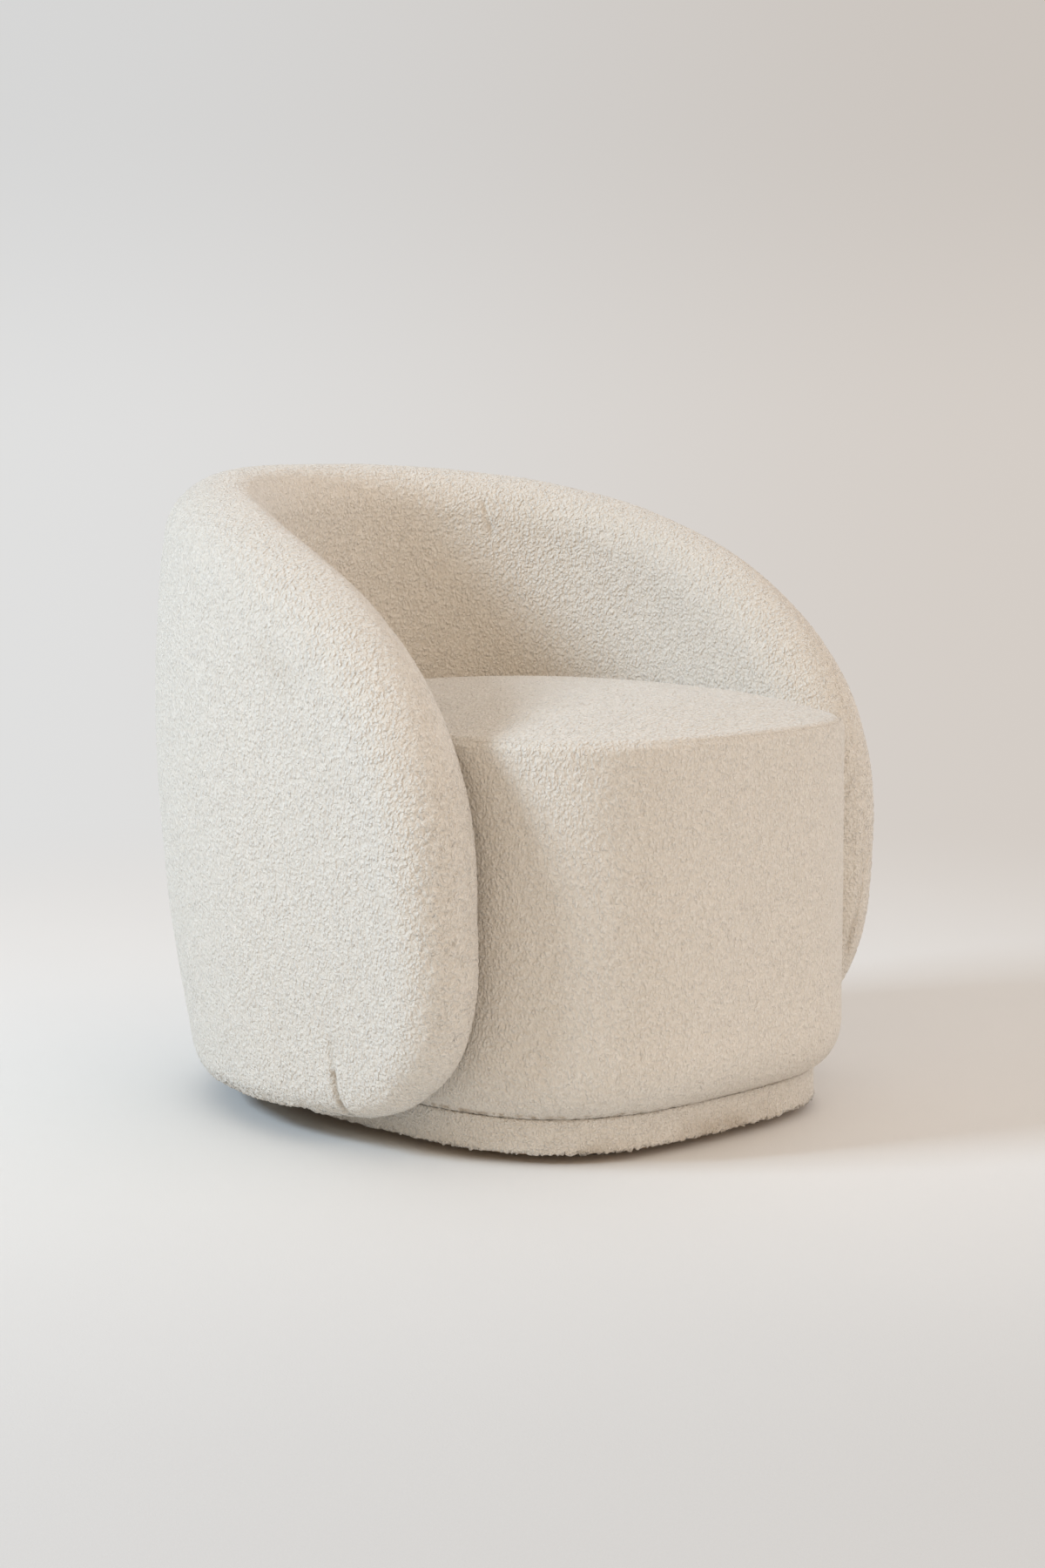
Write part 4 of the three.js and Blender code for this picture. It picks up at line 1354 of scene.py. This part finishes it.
@dataclass(frozen=True)
class Window:
    """A wide soft lamp that lights the chair as a window would."""

    place: Place = (-3.874, 1.725, 3.0)
    aim: Place = (0, 0, 0.35)
    width: float = 1.3
    height: float = 1.05
    power: float = 165
    colour: Colour = (0.66, 0.83, 1.0)

    def build(self) -> None:
        """Hangs the lamp."""
        light = bpy.data.lights.new("window", "AREA")
        light.shape = "RECTANGLE"
        light.size, light.size_y = self.width, self.height
        light.energy, light.color = self.power, self.colour
        lamp = bpy.data.objects.new("window", light)
        lamp.location = self.place
        lamp.rotation_euler = (Vector(self.aim) - Vector(self.place)).to_track_quat("-Z", "Y").to_euler()
        bpy.context.scene.collection.objects.link(lamp)


@dataclass(frozen=True)
class Studio:
    """The floor, the light and the camera."""

    camera_place: Place = (-2.2769, -2.3104, 0.7359)
    camera_heading: float = math.atan2(0.7055, 0.7087)  # from +X towards +Y
    camera_dip: float = math.radians(6.68)
    focal_length: float = 65.29
    window: Window = Window()
    backdrop: Colour = (0.745, 0.745, 0.742)
    # painted shade: darker and warmer, on the backdrop's right
    backdrop_right_shade: Colour = (0.66, 0.61, 0.565)
    backdrop_turn: float = 0.2  # how far to each side it changes from one to the other
    backdrop_rise: Band = (0, 0.12)
    backdrop_shade: float = 0.09  # how much darker it is above that
    fill: Colour = (0.335, 0.322, 0.292)  # from everywhere
    glows: tuple[tuple[Place, Colour], ...] = (  # directions and colours: right, in front and left
        ((0.94, -0.342, 0.0), (0.83, 0.88, 1.0)),
        ((-0.171, -0.97, 0.174), (0.358, 0.171, 0.0)),
        ((-0.75, -0.65, -0.1), (0.2, 0.19, 0.175)),
    )
    floor: Colour = (0.83, 0.815, 0.79)
    floor_patch: float = 0.4  # size of its slightly darker patches
    floor_patch_shade: float = 0.97
    floor_radius: float = 12.0
    floor_end: Band = (0.7, 2.6)  # distances between which it turns into the backdrop
    floor_near: Band = (0.0, 1.5)  # distances towards the photograph's place between which it darkens
    floor_shade: float = 0.2

    def camera(self) -> None:
        """Sets up the camera at the photograph's place."""
        lens = bpy.data.cameras.new("camera")
        lens.lens = self.focal_length
        camera = bpy.data.objects.new("camera", lens)
        bpy.context.scene.collection.objects.link(camera)
        heading, dip = self.camera_heading, self.camera_dip
        flat = math.cos(dip)
        look = Vector((math.cos(heading) * flat, math.sin(heading) * flat, -math.sin(dip)))
        camera.location = self.camera_place
        camera.rotation_euler = look.to_track_quat("-Z", "Y").to_euler()
        bpy.context.scene.camera = camera

    def wall(self, make: Nodes, direction: Link) -> Socket:
        """The backdrop's colour: cool on the camera's left, with a painted darker and warmer shade on its
        right.

        Args:
            make: the nodes that it is added to.
            direction: where it is seen.

        Returns:
            The colour.
        """
        right = (math.sin(self.camera_heading), -math.cos(self.camera_heading), 0.0)
        share = make.span(make.along(direction, right), -self.backdrop_turn, self.backdrop_turn)
        return make.mix(share, self.backdrop, self.backdrop_right_shade)

    def world(self) -> None:
        """Soft fill light, and a plain backdrop for what looks straight at it."""
        world = bpy.data.worlds.new("fill")
        bpy.context.scene.world = world
        world.use_nodes = True
        make = Nodes(world.node_tree)
        place = make.node("ShaderNodeTexCoord", {}).outputs["Generated"]
        light = opaque(self.fill)
        for direction, colour in self.glows:
            half = make.sum("MULTIPLY", make.sum("ADD", make.along(place, direction), 1.0), 0.5)
            light = make.mix(make.sum("MULTIPLY", half, half), light, make.mix(1.0, light, colour, "ADD"))
        shade = make.span(make.height(place), *self.backdrop_rise, end=self.backdrop_shade)
        wall = make.mix(shade, self.wall(make, place), BLACK)
        seen = make.mix(make.looked_at(), light, wall)
        make.feed(make.tree.nodes["Background"].inputs["Color"], seen)

    def ground(self) -> None:
        """A pale floor that turns into the backdrop further off."""
        mesh = bpy.data.meshes.new("floor")
        shape = bmesh.new()
        bmesh.ops.create_circle(shape, cap_ends=True, segments=96, radius=self.floor_radius)
        shape.to_mesh(mesh)
        shape.free()
        floor = bpy.data.objects.new("floor", mesh)
        bpy.context.scene.collection.objects.link(floor)
        make = Recipe("floor_paint")
        where = make.place()
        nearer = make.along(where, (-math.cos(self.camera_heading), -math.sin(self.camera_heading), 0.0))
        darker = tuple(self.floor_patch_shade * c for c in self.floor)
        paint = make.mix(make.noise(where, self.floor_patch), self.floor, darker)
        paint = make.mix(make.span(nearer, *self.floor_near, end=self.floor_shade), paint, BLACK)
        make.finish(paint, make.bump(make.noise(where, 0.002), 0.0002), Roughness=0.9)
        away = make.vector("LENGTH", {0: where}, "Value")
        # a place on the floor takes the wall's colour in about the direction that it hides
        shrink = make.sum("DIVIDE", 1.0, make.sum("ADD", away, math.hypot(*self.camera_place[:2])))
        direction = make.vector("SCALE", {0: where, "Scale": shrink})
        glow = make.node("ShaderNodeEmission", {"Color": self.wall(make, direction), "Strength": 1.0})
        share = make.sum("MULTIPLY", make.looked_at(), make.span(away, *self.floor_end))
        mixed = make.node("ShaderNodeMixShader", {0: share, 1: make.shader.outputs[0], 2: glow.outputs[0]})
        make.feed(make.tree.nodes["Material Output"].inputs["Surface"], mixed.outputs[0])
        mesh.materials.append(make.material)

    def build(self) -> None:
        """Sets up everything round the chair."""
        self.camera()
        self.window.build()
        self.world()
        self.ground()
        bpy.context.scene.view_settings.view_transform = "Standard"


def main() -> None:
    """Builds the chair round its frame."""
    logging.basicConfig(level=logging.INFO, format="%(message)s")
    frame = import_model()
    form = ShellForm(SHELL)
    drum = DrumForm(DRUM, form)
    Studio().build()
    covers = (
        Shell(CLOTHS["shell"], ("shell_cover", "shell_foam"), seed=11, form=form, creases=CREASES),
        DrumSide(CLOTHS["drum"], ("drum_cover", "drum_foam"), seed=12, form=drum),
        SeatPad(CLOTHS["seat"], ("seat_cover", "seat_foam"), seed=13, form=drum),
        PlinthBand(CLOTHS["plinth"], ("plinth_cover",), Slot.PLINTH, seed=14, form=drum),
    )
    for cover in covers:
        cover.build()
    Inside(frame["nodes"]).dress()


if __name__ == "__main__":
    main()
